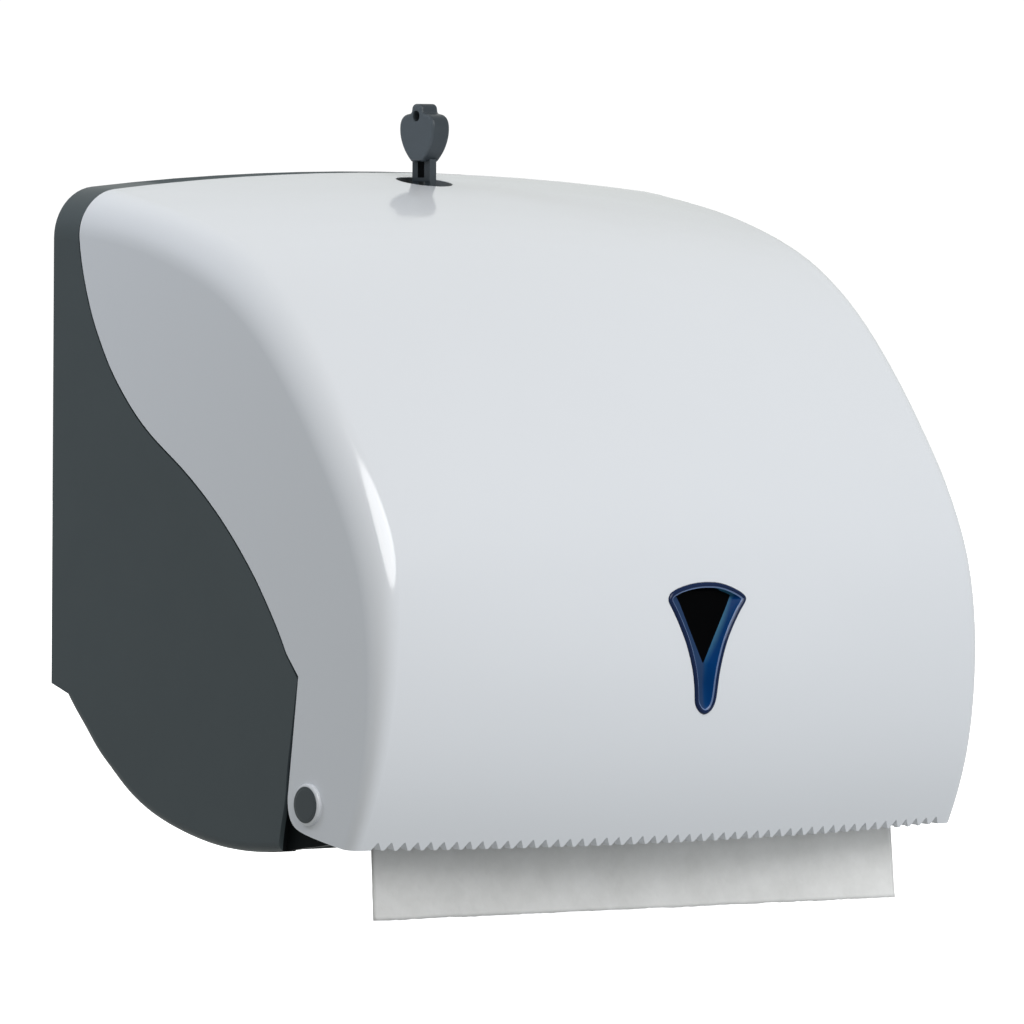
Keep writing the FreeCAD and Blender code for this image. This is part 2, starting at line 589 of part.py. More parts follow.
rb = pad("right_frame", r_geo + [ring(FY, FZ, bush_r), ring(RODY, RODZ, rodr),
                                 ring(HY, HZ, lsr + clr), ring(IY, IZ, stud_r)],
         "dims.frame_thickness", (FI, 0, 0), tip=False)
add_pad(rb, "right_foot", poly([yz(9.0, 56), yz(12.0, 56), yz(12.0, 124), yz(9.0, 124)]), 13.0, 0.0,
        flip=True)
rt = fuse("right_screw_holes",
          cylinder("rh1", 1.6, 6.0, V(97, -7, lv(118)), V(0, -1, 0)),
          cylinder("rh2", 1.6, 6.0, V(97, -7, lv(62)), V(0, -1, 0)))
keep(cut("right_frame", rb, rt), "right_frame")
lb_ = pad("left_frame", l_geo + [ring(FY, FZ, bush_r), ring(RODY, RODZ, rodr)],
          "dims.frame_thickness", (-FI - FT, 0, 0), tip=False)
add_pad(lb_, "left_foot", poly([yz(9.0, 52), yz(12.0, 52), yz(12.0, 72), yz(9.0, 72)]), 13.0,
        FT, flip=False)
keep(cut("left_frame", lb_, cylinder("lh1", 1.6, 6.0, V(-97, -7, lv(62)), V(0, -1, 0))), "left_frame")

# screws that hold the frames, one group
screws = []
for bx, bz in BOSS:
    sh = Part.makeCylinder(1.5, 7.4, V(bx, -12.0, lv(bz)), V(0, 1, 0))
    hd = Part.makeCylinder(3.2, 2.2, V(bx, -12.0, lv(bz)), V(0, -1, 0))
    hd = hd.makeFillet(0.9, [e for e in hd.Edges if abs(e.BoundBox.YMin + 14.2) < 1e-6
                             and abs(e.BoundBox.YMax + 14.2) < 1e-6])
    hd = hd.cut(Part.makeBox(4.0, 1.2, 0.8, V(bx - 2.0, -14.2, lv(bz) - 0.4)))
    hd = hd.cut(Part.makeBox(0.8, 1.2, 4.0, V(bx - 0.4, -14.2, lv(bz) - 2.0)))
    screws.append(sh.fuse(hd))
feature("frame_screws", Part.makeCompound(screws))

# ---------------------------------------------------------------- feed roller and bushes
fsr, fcr, fr = d("feed_shaft_radius"), d("feed_core_radius"), d("feed_radius")
fhw = d("feed_half_width")
GI, GW = d("gear_inside"), d("gear_width")
for side, s in (("left", -1), ("right", 1)):
    turned("feed_bush_" + side,
           [(s * (FI - 1.2), fsr + clr), (s * (FI - 1.2), 8.0), (s * FI, 8.0), (s * FI, bush_r),
            (s * (FI + FT), bush_r), (s * (FI + FT), fsr + clr)], FY, FZ)
flat = 3.1
sh = Part.makeCylinder(fsr, GI + GW + 107.0, V(-107.0, FY, FZ), V(1, 0, 0))
sh = sh.cut(Part.makeBox(GW + 1.0, 10, 5, V(GI, FY - 5, FZ + flat)))
feature("feed_roller_shaft", sh)
cl = 14.0
turned("feed_roller_core",
       [(-fhw, fsr), (-fhw, fcr), (fhw, fcr), (fhw, 7.0), (fhw - cl, 7.0), (fhw - cl, fsr)], FY, FZ)
turned("one_way_clutch", [(fhw - cl, fsr), (fhw - cl, 7.0), (fhw, 7.0), (fhw, fsr)], FY, FZ)
bands = []
for x0, x1 in ((-88, -50), (-19, 19), (50, 88)):
    b = Part.makeCylinder(fr, x1 - x0, V(x0, FY, FZ), V(1, 0, 0))
    b = b.cut(Part.makeCylinder(fcr, x1 - x0, V(x0, FY, FZ), V(1, 0, 0)))
    bands.append(b)
feature("feed_roller_tyres", Part.makeCompound(bands))

# ---------------------------------------------------------------- pinch roller and its carriage
QY, QZ = -d("pinch_front"), lv(d("feed_height"))
psr, pcr, pr_ = d("pinch_shaft_radius"), d("pinch_core_radius"), d("pinch_radius")
CX, CT = d("carriage_arm_x"), d("carriage_arm_thickness")
keep(cylinder("pinch_roller_shaft", "dims.pinch_shaft_radius", "2 * dims.carriage_arm_x + 6.4",
              V(-CX - 3.2, QY, QZ)), "pinch_roller_shaft")
turned("pinch_roller_core", [(-CX + 1.0, psr), (-CX + 1.0, pcr), (CX - 1.0, pcr), (CX - 1.0, psr)],
       QY, QZ)
bands = []
for x0, x1 in ((-88, -50), (-19, 19), (50, 88)):
    b = Part.makeCylinder(pr_, x1 - x0, V(x0, QY, QZ), V(1, 0, 0))
    b = b.cut(Part.makeCylinder(pcr, x1 - x0, V(x0, QY, QZ), V(1, 0, 0)))
    bands.append(b)
feature("pinch_roller_tyres", Part.makeCompound(bands))
# carriage: two arms and a plate across the front
arms = []
for s in (-1, 1):
    x0 = s * CX if s > 0 else -CX - CT
    arm = prism_yz([Part.Circle(V(0, RODY, RODZ), V(1, 0, 0), 5.5).toShape()], CT / 2)
    foot = prism_yz([Part.Circle(V(0, QY, QZ), V(1, 0, 0), 4.4).toShape()], CT / 2)
    mid = prism_yz(chain([V(0, RODY - 5.2, RODZ), V(0, RODY + 5.2, RODZ), V(0, QY + 4.2, QZ),
                          V(0, QY - 4.4, QZ), V(0, RODY - 5.2, RODZ)]), CT / 2)
    a = arm.fuse(foot).fuse(mid)
    a.translate(V(x0 + CT / 2, 0, 0))
    a = a.cut(Part.makeCylinder(rodr + clr, 10, V(x0 - 3, RODY, RODZ), V(1, 0, 0)))
    a = a.cut(Part.makeCylinder(psr + clr, 10, V(x0 - 3, QY, QZ), V(1, 0, 0)))
    arms.append(a)
plate = Part.makeBox(2 * (CX + CT), 1.6, 15.0, V(-CX - CT, RODY - 5.4, RODZ - 16.5))
car = arms[0].fuse(arms[1]).fuse(plate).removeSplitter()
feature("pinch_carriage", car)
keep(cylinder("carriage_pivot_rod", "dims.rod_radius",
              "2 * (dims.frame_inside + dims.frame_thickness)", V(-FI - FT, RODY, RODZ)),
     "carriage_pivot_rod")


def winding(start, axis, radial, length, r, wire, turns):
    """Coil of half turns; each is half a torus, tilted so that the next one meets it smoothly."""
    side = axis.cross(radial)
    n = int(round(2 * turns))
    out = None
    for k in range(n):
        s = 1 if k % 2 == 0 else -1
        a = start + axis * (length * k / n) + radial * (r * s)
        b = start + axis * (length * (k + 1) / n) - radial * (r * s)
        mid = (a + b) * 0.5
        about = (a - mid).cross(side * s)
        about.normalize()
        disc = Part.Face(Part.Wire([Part.Circle(a, side, wire / 2).toShape()]))
        half = disc.revolve(mid, about, 180)
        out = half if out is None else out.fuse(half)
    return out


def coil(x0, x1, r, wire, turns, y, z):
    """Torsion spring about an X-directed axis."""
    return winding(V(x0, y, z), V(1, 0, 0), V(0, 1, 0), x1 - x0, r, wire, turns)


def coil_z(x, y, z0, z1, r, wire, turns):
    """Torsion spring about an upright axis."""
    return winding(V(x, y, z0), V(0, 0, 1), V(1, 0, 0), z1 - z0, r, wire, turns)


springs = [coil(CX + CT + 1.2, CX + CT + 5.2, 4.0, 0.8, 4, RODY, RODZ),
           coil(-CX - CT - 5.2, -CX - CT - 1.2, 4.0, 0.8, 4, RODY, RODZ)]
feature("pinch_springs", Part.makeCompound(springs))
# plate that keeps the paper off the cover's inside, under the pinch roller
keep(pad("exit_guide", rounded([yz(141.0, 3.0), yz(142.6, 3.0), yz(142.6, 11.0), yz(141.0, 11.0)], 0.7),
         "2 * dims.frame_inside", (-FI, 0, 0)), "exit_guide")

# ---------------------------------------------------------------- gears


def inv(a):
    return math.tan(a) - a


def gear_wire(teeth, centre, phase, first=None, last=None, shrink=0.10, hub=None):
    """Involute outline in the y, z plane; a sector if first and last (radians) are given."""
    pa = math.radians(20)
    rp = mod * teeth / 2.0
    rb = rp * math.cos(pa)
    ra = rp + mod * 0.95
    rf = rp - mod * 1.2
    half = math.pi / (2 * teeth) - shrink / rp
    pts = []
    n0, n1 = 0, teeth
    order = range(teeth)
    if first is not None:
        step = 2 * math.pi / teeth
        k0 = math.ceil((first - phase) / step)
        k1 = math.floor((last - phase) / step)
        order = range(k0, k1 + 1)
    for k in order:
        c = phase + 2 * math.pi * k / teeth
        left, right = [], []
        r0 = max(rb, rf)
        for j in range(6):
            r = r0 + (ra - r0) * j / 5.0
            ac = math.acos(min(1.0, rb / r))
            off = half + inv(pa) - inv(ac)
            left.append((r, c - off))
            right.append((r, c + off))
        root = half + inv(pa) - inv(math.acos(min(1.0, rb / r0)))
        pts.append((rf, c - root - 0.02 / rf))
        pts += left
        pts += list(reversed(right))
        pts.append((rf, c + root + 0.02 / rf))
    out = [V(0, centre[0] + r * math.cos(a), centre[1] + r * math.sin(a)) for r, a in pts]
    if first is not None:
        a0, a1_ = pts[0][1] - 0.03, pts[-1][1] + 0.03
        hr = hub
        out = ([V(0, centre[0] + rf * math.cos(a0), centre[1] + rf * math.sin(a0))] + out +
               [V(0, centre[0] + rf * math.cos(a1_), centre[1] + rf * math.sin(a1_))])
        out += [V(0, centre[0] + hr * math.cos(a1_ + 0.5), centre[1] + hr * math.sin(a1_ + 0.5)),
                V(0, centre[0] + hr * math.cos((a0 + a1_) / 2 + math.pi),
                  centre[1] + hr * math.sin((a0 + a1_) / 2 + math.pi)),
                V(0, centre[0] + hr * math.cos(a0 - 0.5), centre[1] + hr * math.sin(a0 - 0.5))]
    out.append(out[0])
    clean = [out[0]]
    for q in out[1:]:
        if (q - clean[-1]).Length > 1e-4:
            clean.append(q)
    return Part.makePolygon(clean)


def gear(teeth, centre, phase, x0, width, bore, hub_r=0, hub_x=None, **kw):
    g = Part.Face(gear_wire(teeth, centre, phase, **kw)).extrude(V(width, 0, 0))
    g.translate(V(x0, 0, 0))
    if hub_r:
        g = g.fuse(Part.makeCylinder(hub_r, hub_x[1] - hub_x[0], V(hub_x[0], *centre), V(1, 0, 0)))
    g = g.cut(Part.makeCylinder(bore, 60, V(x0 - 30, *centre), V(1, 0, 0)))
    return g


HC, IC, FC = (HY, HZ), (IY, IZ), (FY, FZ)
phi_hi = math.atan2(IZ - HZ, IY - HY)
phi_if = math.atan2(FZ - IZ, FY - IY)
# a tooth of the sector on the line of centres, a gap of the idler there, and so on
ph_s = phi_hi
ph_i = phi_hi + math.pi + math.pi / NI
# the idler's phase at the line to the pinion fixes the pinion's
frac = ((phi_if - ph_i) * NI / (2 * math.pi)) % 1.0
ph_p = phi_if + math.pi + (0.5 + frac) * 2 * math.pi / NP

sector = gear(NS, HC, ph_s, GI, GW, lsr, 10.0, (GI, GI + GW),
              first=phi_hi - math.radians(64), last=phi_hi + math.radians(9), hub=10.5)
sector = sector.cut(Part.makeCylinder(3.2, 20, V(GI - 5, HY + 18 * math.cos(phi_hi - 0.15),
                                                 HZ + 18 * math.sin(phi_hi - 0.15)), V(1, 0, 0)))
sector = sector.cut(Part.makeCylinder(3.2, 20, V(GI - 5, HY + 18 * math.cos(phi_hi - 0.85),
                                                 HZ + 18 * math.sin(phi_hi - 0.85)), V(1, 0, 0)))
feature("sector_gear", sector)
feature("idler_gear", gear(NI, IC, ph_i, GI, GW, stud_r + clr))
pin_g = gear(NP, FC, ph_p, GI, GW, fsr)
pin_g = pin_g.fuse(Part.makeCylinder(fsr + 0.2, GW, V(GI, FY, FZ), V(1, 0, 0)).common(
    Part.makeBox(GW, 10, 3, V(GI, FY - 5, FZ + flat))))
feature("feed_pinion", pin_g.removeSplitter())
turned("idler_stud", [(FI - 1.0, 0), (FI - 1.0, 4.6), (FI, 4.6), (FI, stud_r), (GI + GW + 0.4, stud_r),
                      (GI + GW + 0.4, 4.6), (GI + GW + 1.2, 4.6), (GI + GW + 1.2, 0)], IY, IZ)

# ---------------------------------------------------------------- feed lever
LI, LT = d("lever_inside"), d("lever_thickness")
lever_shaft = Part.makeCylinder(lsr, LI + LT - 104.0, V(104.0, HY, HZ), V(1, 0, 0))
lever_shaft = lever_shaft.cut(Part.makeBox(LT + 0.2, 12, 5, V(LI - 0.1, HY - 6, HZ + 3.3)))
feature("lever_shaft", lever_shaft)
turned("lever_bush", [(113.0, lsr + clr), (113.0, 6.5), (118.0, 6.5), (118.0, 9.5), (119.2, 9.5),
                      (119.2, lsr + clr)], HY, HZ)
rise = math.radians(d("lever_rise"))
reach = d("lever_reach")
TY, TZ = HY - reach * math.cos(rise), HZ + reach * math.sin(rise)


def tapered(c0, r0, c1, r1):
    """Outline of two circles and their outer tangents."""
    ux, uz = c1[0] - c0[0], c1[1] - c0[1]
    m = math.hypot(ux, uz)
    base = math.atan2(uz, ux)
    b = math.acos((r0 - r1) / m)

    def on(c, r, a):
        return V(0, c[0] + r * math.cos(a), c[1] + r * math.sin(a))
    return Part.Wire([
        Part.Arc(on(c0, r0, base + b), on(c0, r0, base + math.pi), on(c0, r0, base - b)).toShape(),
        seg(on(c0, r0, base - b), on(c1, r1, base - b)),
        Part.Arc(on(c1, r1, base - b), on(c1, r1, base), on(c1, r1, base + b)).toShape(),
        seg(on(c1, r1, base + b), on(c0, r0, base + b))])


lev = Part.Face(tapered(HC, 12.5, (TY, TZ), 7.0)).extrude(V(LT, 0, 0))
lev.translate(V(LI, 0, 0))
ax = V(0, math.cos(math.pi - rise), math.sin(math.pi - rise))
nx = V(0, -ax.z, ax.y)
pc = V(LI, TY, TZ)
pad_w = d("paddle_width")
paddle = Part.Face(tapered((TY - ax.y * 14, TZ - ax.z * 14), 5.6, (TY, TZ), 7.0)).extrude(V(pad_w, 0, 0))
paddle.translate(V(LI, 0, 0))
lev = lev.fuse(paddle).removeSplitter()
outer_e = [e for e in lev.Edges if abs(e.BoundBox.XMin - (LI + pad_w)) < 1e-6]
try:
    lev = lev.makeFillet(1.6, outer_e)
except Exception:
    pass
lev = lev.cut(Part.makeCylinder(lsr, 40, V(LI - 5, HY, HZ), V(1, 0, 0)).cut(
    Part.makeBox(60, 12, 5, V(LI - 10, HY - 6, HZ + 3.3))))
feature("feed_lever", lev)
turned("lever_cap", [(LI + LT, 0), (LI + LT, 8.6), (LI + LT + 1.0, 8.6), (LI + LT + 1.8, 7.8),
                     (LI + LT + 1.8, 0)], HY, HZ)
spring = coil(GI + GW + 0.7, 113.8, 8.0, 0.9, 2, HY, HZ)
feature("lever_return_spring", spring)

# ---------------------------------------------------------------- roll support
plg = d("plug_radius")
turned("fixed_core_plug", [(97.6, 13.5), (97.6, plg - 1.2), (98.8, plg), (102.3, plg), (102.3, 21.0),
                           (FI, 21.0), (FI, 13.5)], RY, RZ)
APX, APY = -d("arm_pin_x"), -d("arm_pin_front")
AT, AW = d("arm_thickness"), d("arm_width")
apr = d("arm_pin_radius")
armz0, armz1 = lv(d("roll_height") - AW / 2), lv(d("roll_height") + AW / 2)
strip = Part.makeBox(AT, RY * -1 - 10 - 3, AW, V(APX - AT / 2, RY, armz0))
disc = Part.makeCylinder(18.5, AT, V(APX - AT / 2, RY, RZ), V(1, 0, 0))
knuckle = Part.makeCylinder(4.4, AW, V(APX, APY, armz0), V(0, 0, 1))
coil_room = Part.makeCylinder(5.2, 10.4, V(APX, APY, armz0 + 4.8), V(0, 0, 1))
plug2 = Part.makeCylinder(plg, APX * -1 - AT / 2 - 97.6, V(APX + AT / 2, RY, RZ), V(1, 0, 0))
tip_e = [e for e in plug2.Edges if abs(e.BoundBox.XMax + 97.6) < 1e-6 and abs(e.BoundBox.XMin + 97.6) < 1e-6]
plug2 = plug2.makeChamfer(1.3, tip_e)
link = Part.makeBox(AT, 10, AW, V(APX - AT / 2, APY - 10, armz0))
arm_s = strip.fuse(disc).fuse(knuckle).fuse(plug2).fuse(link)
arm_s = arm_s.cut(coil_room)
arm_s = arm_s.cut(Part.makeCylinder(apr + clr, 60, V(APX, APY, armz0 - 10), V(0, 0, 1)))
arm_s = arm_s.cut(Part.makeCylinder(13.5, 30, V(-110, RY, RZ), V(1, 0, 0)))
feature("roll_arm", arm_s.removeSplitter())
# bracket with two lugs on the back wall, and its pin
lug = []
for z0 in (armz0 - 4.3, armz1 + 0.3):
    l_ = Part.makeBox(10.0, APY * -1 + 1.0 - BW, 4.0, V(APX - 5.0, APY - 1.0, z0))
    l_ = l_.fuse(Part.makeCylinder(5.0, 4.0, V(APX, APY, z0), V(0, 0, 1)))
    lug.append(l_)
spine = Part.makeBox(10.0, 2.0, AW + 8.6, V(APX - 5.0, -BW - 2.0, armz0 - 4.3))
brk = lug[0].fuse(lug[1]).fuse(spine)
brk = brk.cut(Part.makeCylinder(apr, 60, V(APX, APY, armz0 - 12), V(0, 0, 1)))
feature("arm_bracket", brk.removeSplitter())
keep(cylinder("arm_hinge_pin", "dims.arm_pin_radius", "dims.arm_width + 11",
              V(APX, APY, armz0 - 5.5), V(0, 0, 1)), "arm_hinge_pin")
feature("roll_arm_spring", coil_z(APX, APY, armz0 + 5.6, armz0 + 14.4, 3.3, 0.9, 6))

# ---------------------------------------------------------------- paper
RR, RW = d("roll_radius"), d("roll_half_width")
cro, cri = d("core_outer_radius"), d("core_inner_radius")
turned("roll_core", [(-RW, cri), (-RW, cro), (RW, cro), (RW, cri)], RY, RZ)
turned("paper_roll", [(-RW, cro), (-RW, RR), (RW, RR), (RW, cro)], RY, RZ)
PT = d("paper_thickness")
web_line = [(138.45, 91.0), (138.0, 56.0), (137.5, 22.0), (137.5, 18.0), (138.2, 10.0)]
web_pts = [pt(*q) for q in web_line]
wf = [V(0, q.y - PT / 2, q.z) for q in web_pts] + [V(0, q.y + PT / 2, q.z) for q in reversed(web_pts)]
web_s = prism_yz(chain(wf + [wf[0]]), RW)
feature("paper_web", web_s)
ty0, tz0 = -d("tail_hinge_front"), lv(d("tail_hinge_height"))
lean = math.radians(4.9)


def on_tail(x, s):
    return V(x, ty0 + PT / 2 - s * math.sin(lean), tz0 - s * math.cos(lean))


tl, tr = d("tail_length_left"), d("tail_length_right")
tail = [on_tail(-RW, 0), on_tail(RW, 0), on_tail(RW, tr), on_tail(-RW, tl), on_tail(-RW, 0)]
feature("paper_tail", Part.Face(Part.makePolygon(tail)).extrude(V(0, -PT, 0)))

# ---------------------------------------------------------------- lock and key
hr, br = d("barrel_head_radius"), d("barrel_radius")
barrel = Part.makeCylinder(hr, 3.0, V(0, LY, lt - 3.0), V(0, 0, 1))
barrel = barrel.makeFillet(0.5, [e for e in barrel.Edges if abs(e.BoundBox.ZMin - lt) < 1e-6])
barrel = barrel.fuse(Part.makeCylinder(br, lt - 3.0 - lb + 4.5, V(0, LY, lb - 4.5), V(0, 0, 1)))
kt, kd, kg, kp = d("prong_thickness"), d("prong_depth"), d("prong_gap"), d("prong_width")
for s in (-1, 1):
    y0 = LY + (kg / 2 if s > 0 else -kg / 2 - kp)
    barrel = barrel.cut(Part.makeBox(kt + 0.2, kp + 0.2, kd + 5, V(-kt / 2 - 0.1, y0 - 0.1, lt - kd - 0.6)))
feature("lock_barrel", barrel.removeSplitter())
cl_ = d("cam_length")
cam = Part.makeBox(cl_, 8.0, d("cam_thickness"), V(0, LY - 4.0, lb - 4.5 - d("cam_thickness")))
cam = cam.fuse(Part.makeCylinder(6.0, d("cam_thickness"), V(0, LY, lb - 4.5 - d("cam_thickness")), V(0, 0, 1)))
cam = cam.cut(Part.makeCylinder(1.6, 10, V(0, LY, lb - 10), V(0, 0, 1)))
feature("lock_cam", cam.removeSplitter())
cs = Part.makeCylinder(1.6, 2.5 + 1.0, V(0, LY, lb - 4.5 - 2.5), V(0, 0, 1))
csh = Part.makeCylinder(3.4, 1.8, V(0, LY, lb - 4.5 - 2.5), V(0, 0, -1))
barrel_hole = Part.makeCylinder(1.6, 1.0, V(0, LY, lb - 4.5), V(0, 0, 1))
b_obj = [o for o in NODES if o.Label == "lock_barrel"][0]
b_obj.Shape = b_obj.Shape.cut(barrel_hole)
feature("cam_screw", cs.fuse(csh).removeSplitter())
# keeper tongue on the back wall above the turned cam
kz = lb - 4.5 + 0.5
keeper = Part.makeBox(16.0, 22.5, 2.0, V(-8.0, -BW - 22.5, kz))
keeper = keeper.fuse(Part.makeBox(16.0, 2.5, 14.0, V(-8.0, -BW - 2.5, kz)))
feature("lock_keeper", keeper.removeSplitter())

# key: shield-shaped bow with a hole, waist, web and two prongs
kth = d("key_thickness")
half_bow = [(0.8, 221.3), (1.7, 221.05), (2.35, 220.4), (2.6, 219.5), (2.85, 218.75), (3.7, 218.3),
            (5.4, 218.0), (7.1, 217.25), (8.25, 215.7), (8.6, 213.6), (8.35, 211.3), (7.4, 208.8),
            (5.8, 206.3), (4.0, 204.4), (2.9, 203.4)]
pts = [V(0, LY - a, lv(z)) for a, z in half_bow]
ptsl = [V(0, LY + a, lv(z)) for a, z in half_bow]
bowc = Part.BSplineCurve()
bowc.interpolate(pts)
bowl = Part.BSplineCurve()
bowl.interpolate(list(reversed(ptsl)))
bow_w = Part.Wire([bowc.toShape(), seg(pts[-1], ptsl[-1]), bowl.toShape(), seg(ptsl[0], pts[0])])
bow_s = Part.Face(bow_w).extrude(V(kth, 0, 0))
bow_s.translate(V(-kth / 2, 0, 0))
rim_e = [e for e in bow_s.Edges if abs(e.BoundBox.XMax - e.BoundBox.XMin) < 1e-6]
for size in (1.0, 0.8, 0.6, 0.4):
    try:
        soft = bow_s.makeFillet(size, rim_e)
    except Exception:
        continue
    if soft.isValid() and len(soft.Solids) == 1:
        bow_s = soft
        print("key rim fillet", size)
        break
eye = Part.makeCylinder(1.7, 20, V(-10, LY, lv(217.5)), V(1, 0, 0))
bow_s = bow_s.cut(eye)
sw = d("stem_half_width")
stem = Part.makeBox(kt + 0.4, 2 * sw, 204.2 - 197.2, V(-kt / 2 - 0.2, LY - sw, lv(197.2)))
prongs = []
for s in (-1, 1):
    y0 = LY + (kg / 2 if s > 0 else -kg / 2 - kp)
    prongs.append(Part.makeBox(kt, kp, 199.0 - (195.6 - kd), V(-kt / 2, y0, lv(195.6 - kd))))
slot = Part.makeBox(20, kg, 4.9, V(-10, LY - kg / 2, lv(198.5)))
key = bow_s.fuse(stem).fuse(prongs[0]).fuse(prongs[1]).cut(slot).removeSplitter()
feature("key", key)

# ---------------------------------------------------------------- checks and export
doc.recompute()
bad = []
for o in doc.Objects:
    if "Invalid" in o.State or "Error" in o.State:
        bad.append(o.Name + ":" + ",".join(o.State))
labels = [o.Label for o in NODES]
if len(set(labels)) != len(labels):
    bad.append("labels repeat")
for o in NODES:
    s = o.Shape
    if s.isNull() or not s.isValid():
        bad.append(o.Label + " shape null or not valid")
    elif not s.Solids or s.Volume <= 0:
        bad.append(o.Label + " holds no solid")
if bad:
    print("PROBLEMS", bad)
    raise SystemExit("model has problems: " + "; ".join(bad))
os.makedirs("parts", exist_ok=True)
total = None
for o in NODES:
    s = o.Shape
    s.exportStep(os.path.join("parts", o.Label + ".step"))
    bb = s.BoundBox
    total = bb if total is None else total.united(bb)
    print("%-22s solids %d faces %4d volume %10.1f  x %7.1f %7.1f  y %7.1f %7.1f  z %7.1f %7.1f" % (
        o.Label, len(s.Solids), len(s.Faces), s.Volume, bb.XMin, bb.XMax, bb.YMin, bb.YMax, bb.ZMin, bb.ZMax))
print("nodes", len(NODES), "size", round(total.XLength, 1), round(total.YLength, 1), round(total.ZLength, 1))
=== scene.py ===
import json
import math

import bmesh
import bpy
import numpy as np
from mathutils import Matrix, Vector


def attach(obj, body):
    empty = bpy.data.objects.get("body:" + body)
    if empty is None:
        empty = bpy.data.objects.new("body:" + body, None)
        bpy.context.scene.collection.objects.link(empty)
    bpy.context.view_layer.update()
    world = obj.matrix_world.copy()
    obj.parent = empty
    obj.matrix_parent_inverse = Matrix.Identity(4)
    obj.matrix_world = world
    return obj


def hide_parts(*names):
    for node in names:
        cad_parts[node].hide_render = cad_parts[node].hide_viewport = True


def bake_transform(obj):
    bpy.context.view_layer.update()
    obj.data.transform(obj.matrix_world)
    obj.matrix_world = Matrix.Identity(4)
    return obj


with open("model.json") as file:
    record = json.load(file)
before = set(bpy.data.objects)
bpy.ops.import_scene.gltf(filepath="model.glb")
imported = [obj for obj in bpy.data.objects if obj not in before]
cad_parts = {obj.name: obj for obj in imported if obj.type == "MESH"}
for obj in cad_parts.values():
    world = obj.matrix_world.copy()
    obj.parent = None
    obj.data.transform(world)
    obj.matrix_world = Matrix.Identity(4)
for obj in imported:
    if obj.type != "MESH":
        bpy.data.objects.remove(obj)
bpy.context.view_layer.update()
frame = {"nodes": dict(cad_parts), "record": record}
N = frame["nodes"]
DROP = 115.0          # the tear edge lies this far below the origin, mm
W = 118.0             # half width of the hood, mm


# ------------------------------------------------------------------ the hood's surface
HOOD = np.array([
    (-9.0, 200.70, 6.50, 16.0), (0.0, 200.55, 6.60, 15.8), (13.0, 199.85, 6.90, 14.9),
    (25.5, 198.35, 7.30, 14.0), (38.0, 196.35, 7.50, 13.5), (50.1, 194.1, 7.75, 13.4),
    (64.7, 190.5, 8.05, 13.5), (78.4, 186.2, 8.30, 13.6), (91.4, 180.7, 8.60, 13.3),
    (103.2, 173.6, 8.85, 12.8), (113.9, 165.4, 9.15, 12.2), (123.4, 156.4, 9.45, 11.7),
    (132.1, 147.1, 9.75, 11.4), (140.0, 137.7, 9.95, 11.2), (147.4, 128.0, 10.1, 11.1),
    (154.4, 118.1, 10.1, 11.0), (160.7, 107.7, 10.05, 10.8), (166.0, 96.7, 9.95, 10.5),
    (169.9, 85.0, 9.80, 9.9), (172.0, 72.9, 9.65, 9.0), (172.6, 60.6, 9.40, 8.0),
    (172.0, 48.3, 9.10, 7.1), (170.4, 36.1, 8.75, 6.3), (167.7, 24.0, 8.35, 5.5),
    (163.8, 12.2, 8.05, 4.8), (158.6, 0.7, 7.75, 4.3), (152.6, -10.5, 7.5, 4.3),
    (146.4, -21.0, 7.3, 4.3)])


def natural_spline(t, y):
    """Second derivatives of the natural cubic spline through (t, y)."""
    n = len(t)
    h = np.diff(t)
    a = np.zeros((n, n))
    b = np.zeros((n, y.shape[1]))
    a[0, 0] = a[-1, -1] = 1
    for i in range(1, n - 1):
        a[i, i - 1] = h[i - 1]
        a[i, i] = 2 * (h[i - 1] + h[i])
        a[i, i + 1] = h[i]
        b[i] = 6 * ((y[i + 1] - y[i]) / h[i] - (y[i] - y[i - 1]) / h[i - 1])
    return np.linalg.solve(a, b)


_pts = HOOD.copy()
_pts[:, 0] *= -1
_t = np.concatenate([[0], np.cumsum(np.hypot(*np.diff(_pts[:, :2], axis=0).T))])
_m = natural_spline(_t, _pts)


def hood_at(s):
    """y, z, crown, corner radius and the tangent at chord length s (mm)."""
    s = np.atleast_1d(np.asarray(s, float))
    i = np.clip(np.searchsorted(_t, s) - 1, 0, len(_t) - 2)
    h = (_t[i + 1] - _t[i])[:, None]
    a = (_t[i + 1] - s)[:, None] / h
    b = (s - _t[i])[:, None] / h
    v = (a * _pts[i] + b * _pts[i + 1] +
         ((a ** 3 - a) * _m[i] + (b ** 3 - b) * _m[i + 1]) * h * h / 6)
    dv = ((_pts[i + 1] - _pts[i]) / h +
          (-(3 * a * a - 1) * _m[i] + (3 * b * b - 1) * _m[i + 1]) * h / 6)
    tan = dv[:, :2] / np.linalg.norm(dv[:, :2], axis=1)[:, None]
    return v[:, 0], v[:, 1], v[:, 2], v[:, 3], tan


def hood_point(s, x, off=0.0):
    """Point on the crown part of the skin above the given x, moved inwards by off."""
    y, z, c, r, tan = hood_at(s)
    n = np.stack([tan[:, 1], -tan[:, 0]], 1)          # outward normal in (y, z)
    flip = np.where(n[:, 1] - n[:, 0] < 0, -1.0, 1.0)
    n = n * flip[:, None]
    rc = W * W / (2 * c)
    h = -rc + np.sqrt(np.maximum((rc - off) ** 2 - np.asarray(x) ** 2, 0))
    return np.stack([np.broadcast_to(x, h.shape), y + n[:, 0] * h, z + n[:, 1] * h], 1)


def hood_frame(s):
    y, z, c, r, tan = hood_at(s)
    n = np.stack([tan[:, 1], -tan[:, 0]], 1)
    flip = np.where(n[:, 1] - n[:, 0] < 0, -1.0, 1.0)
    return y, z, c, r, tan, n * flip[:, None]


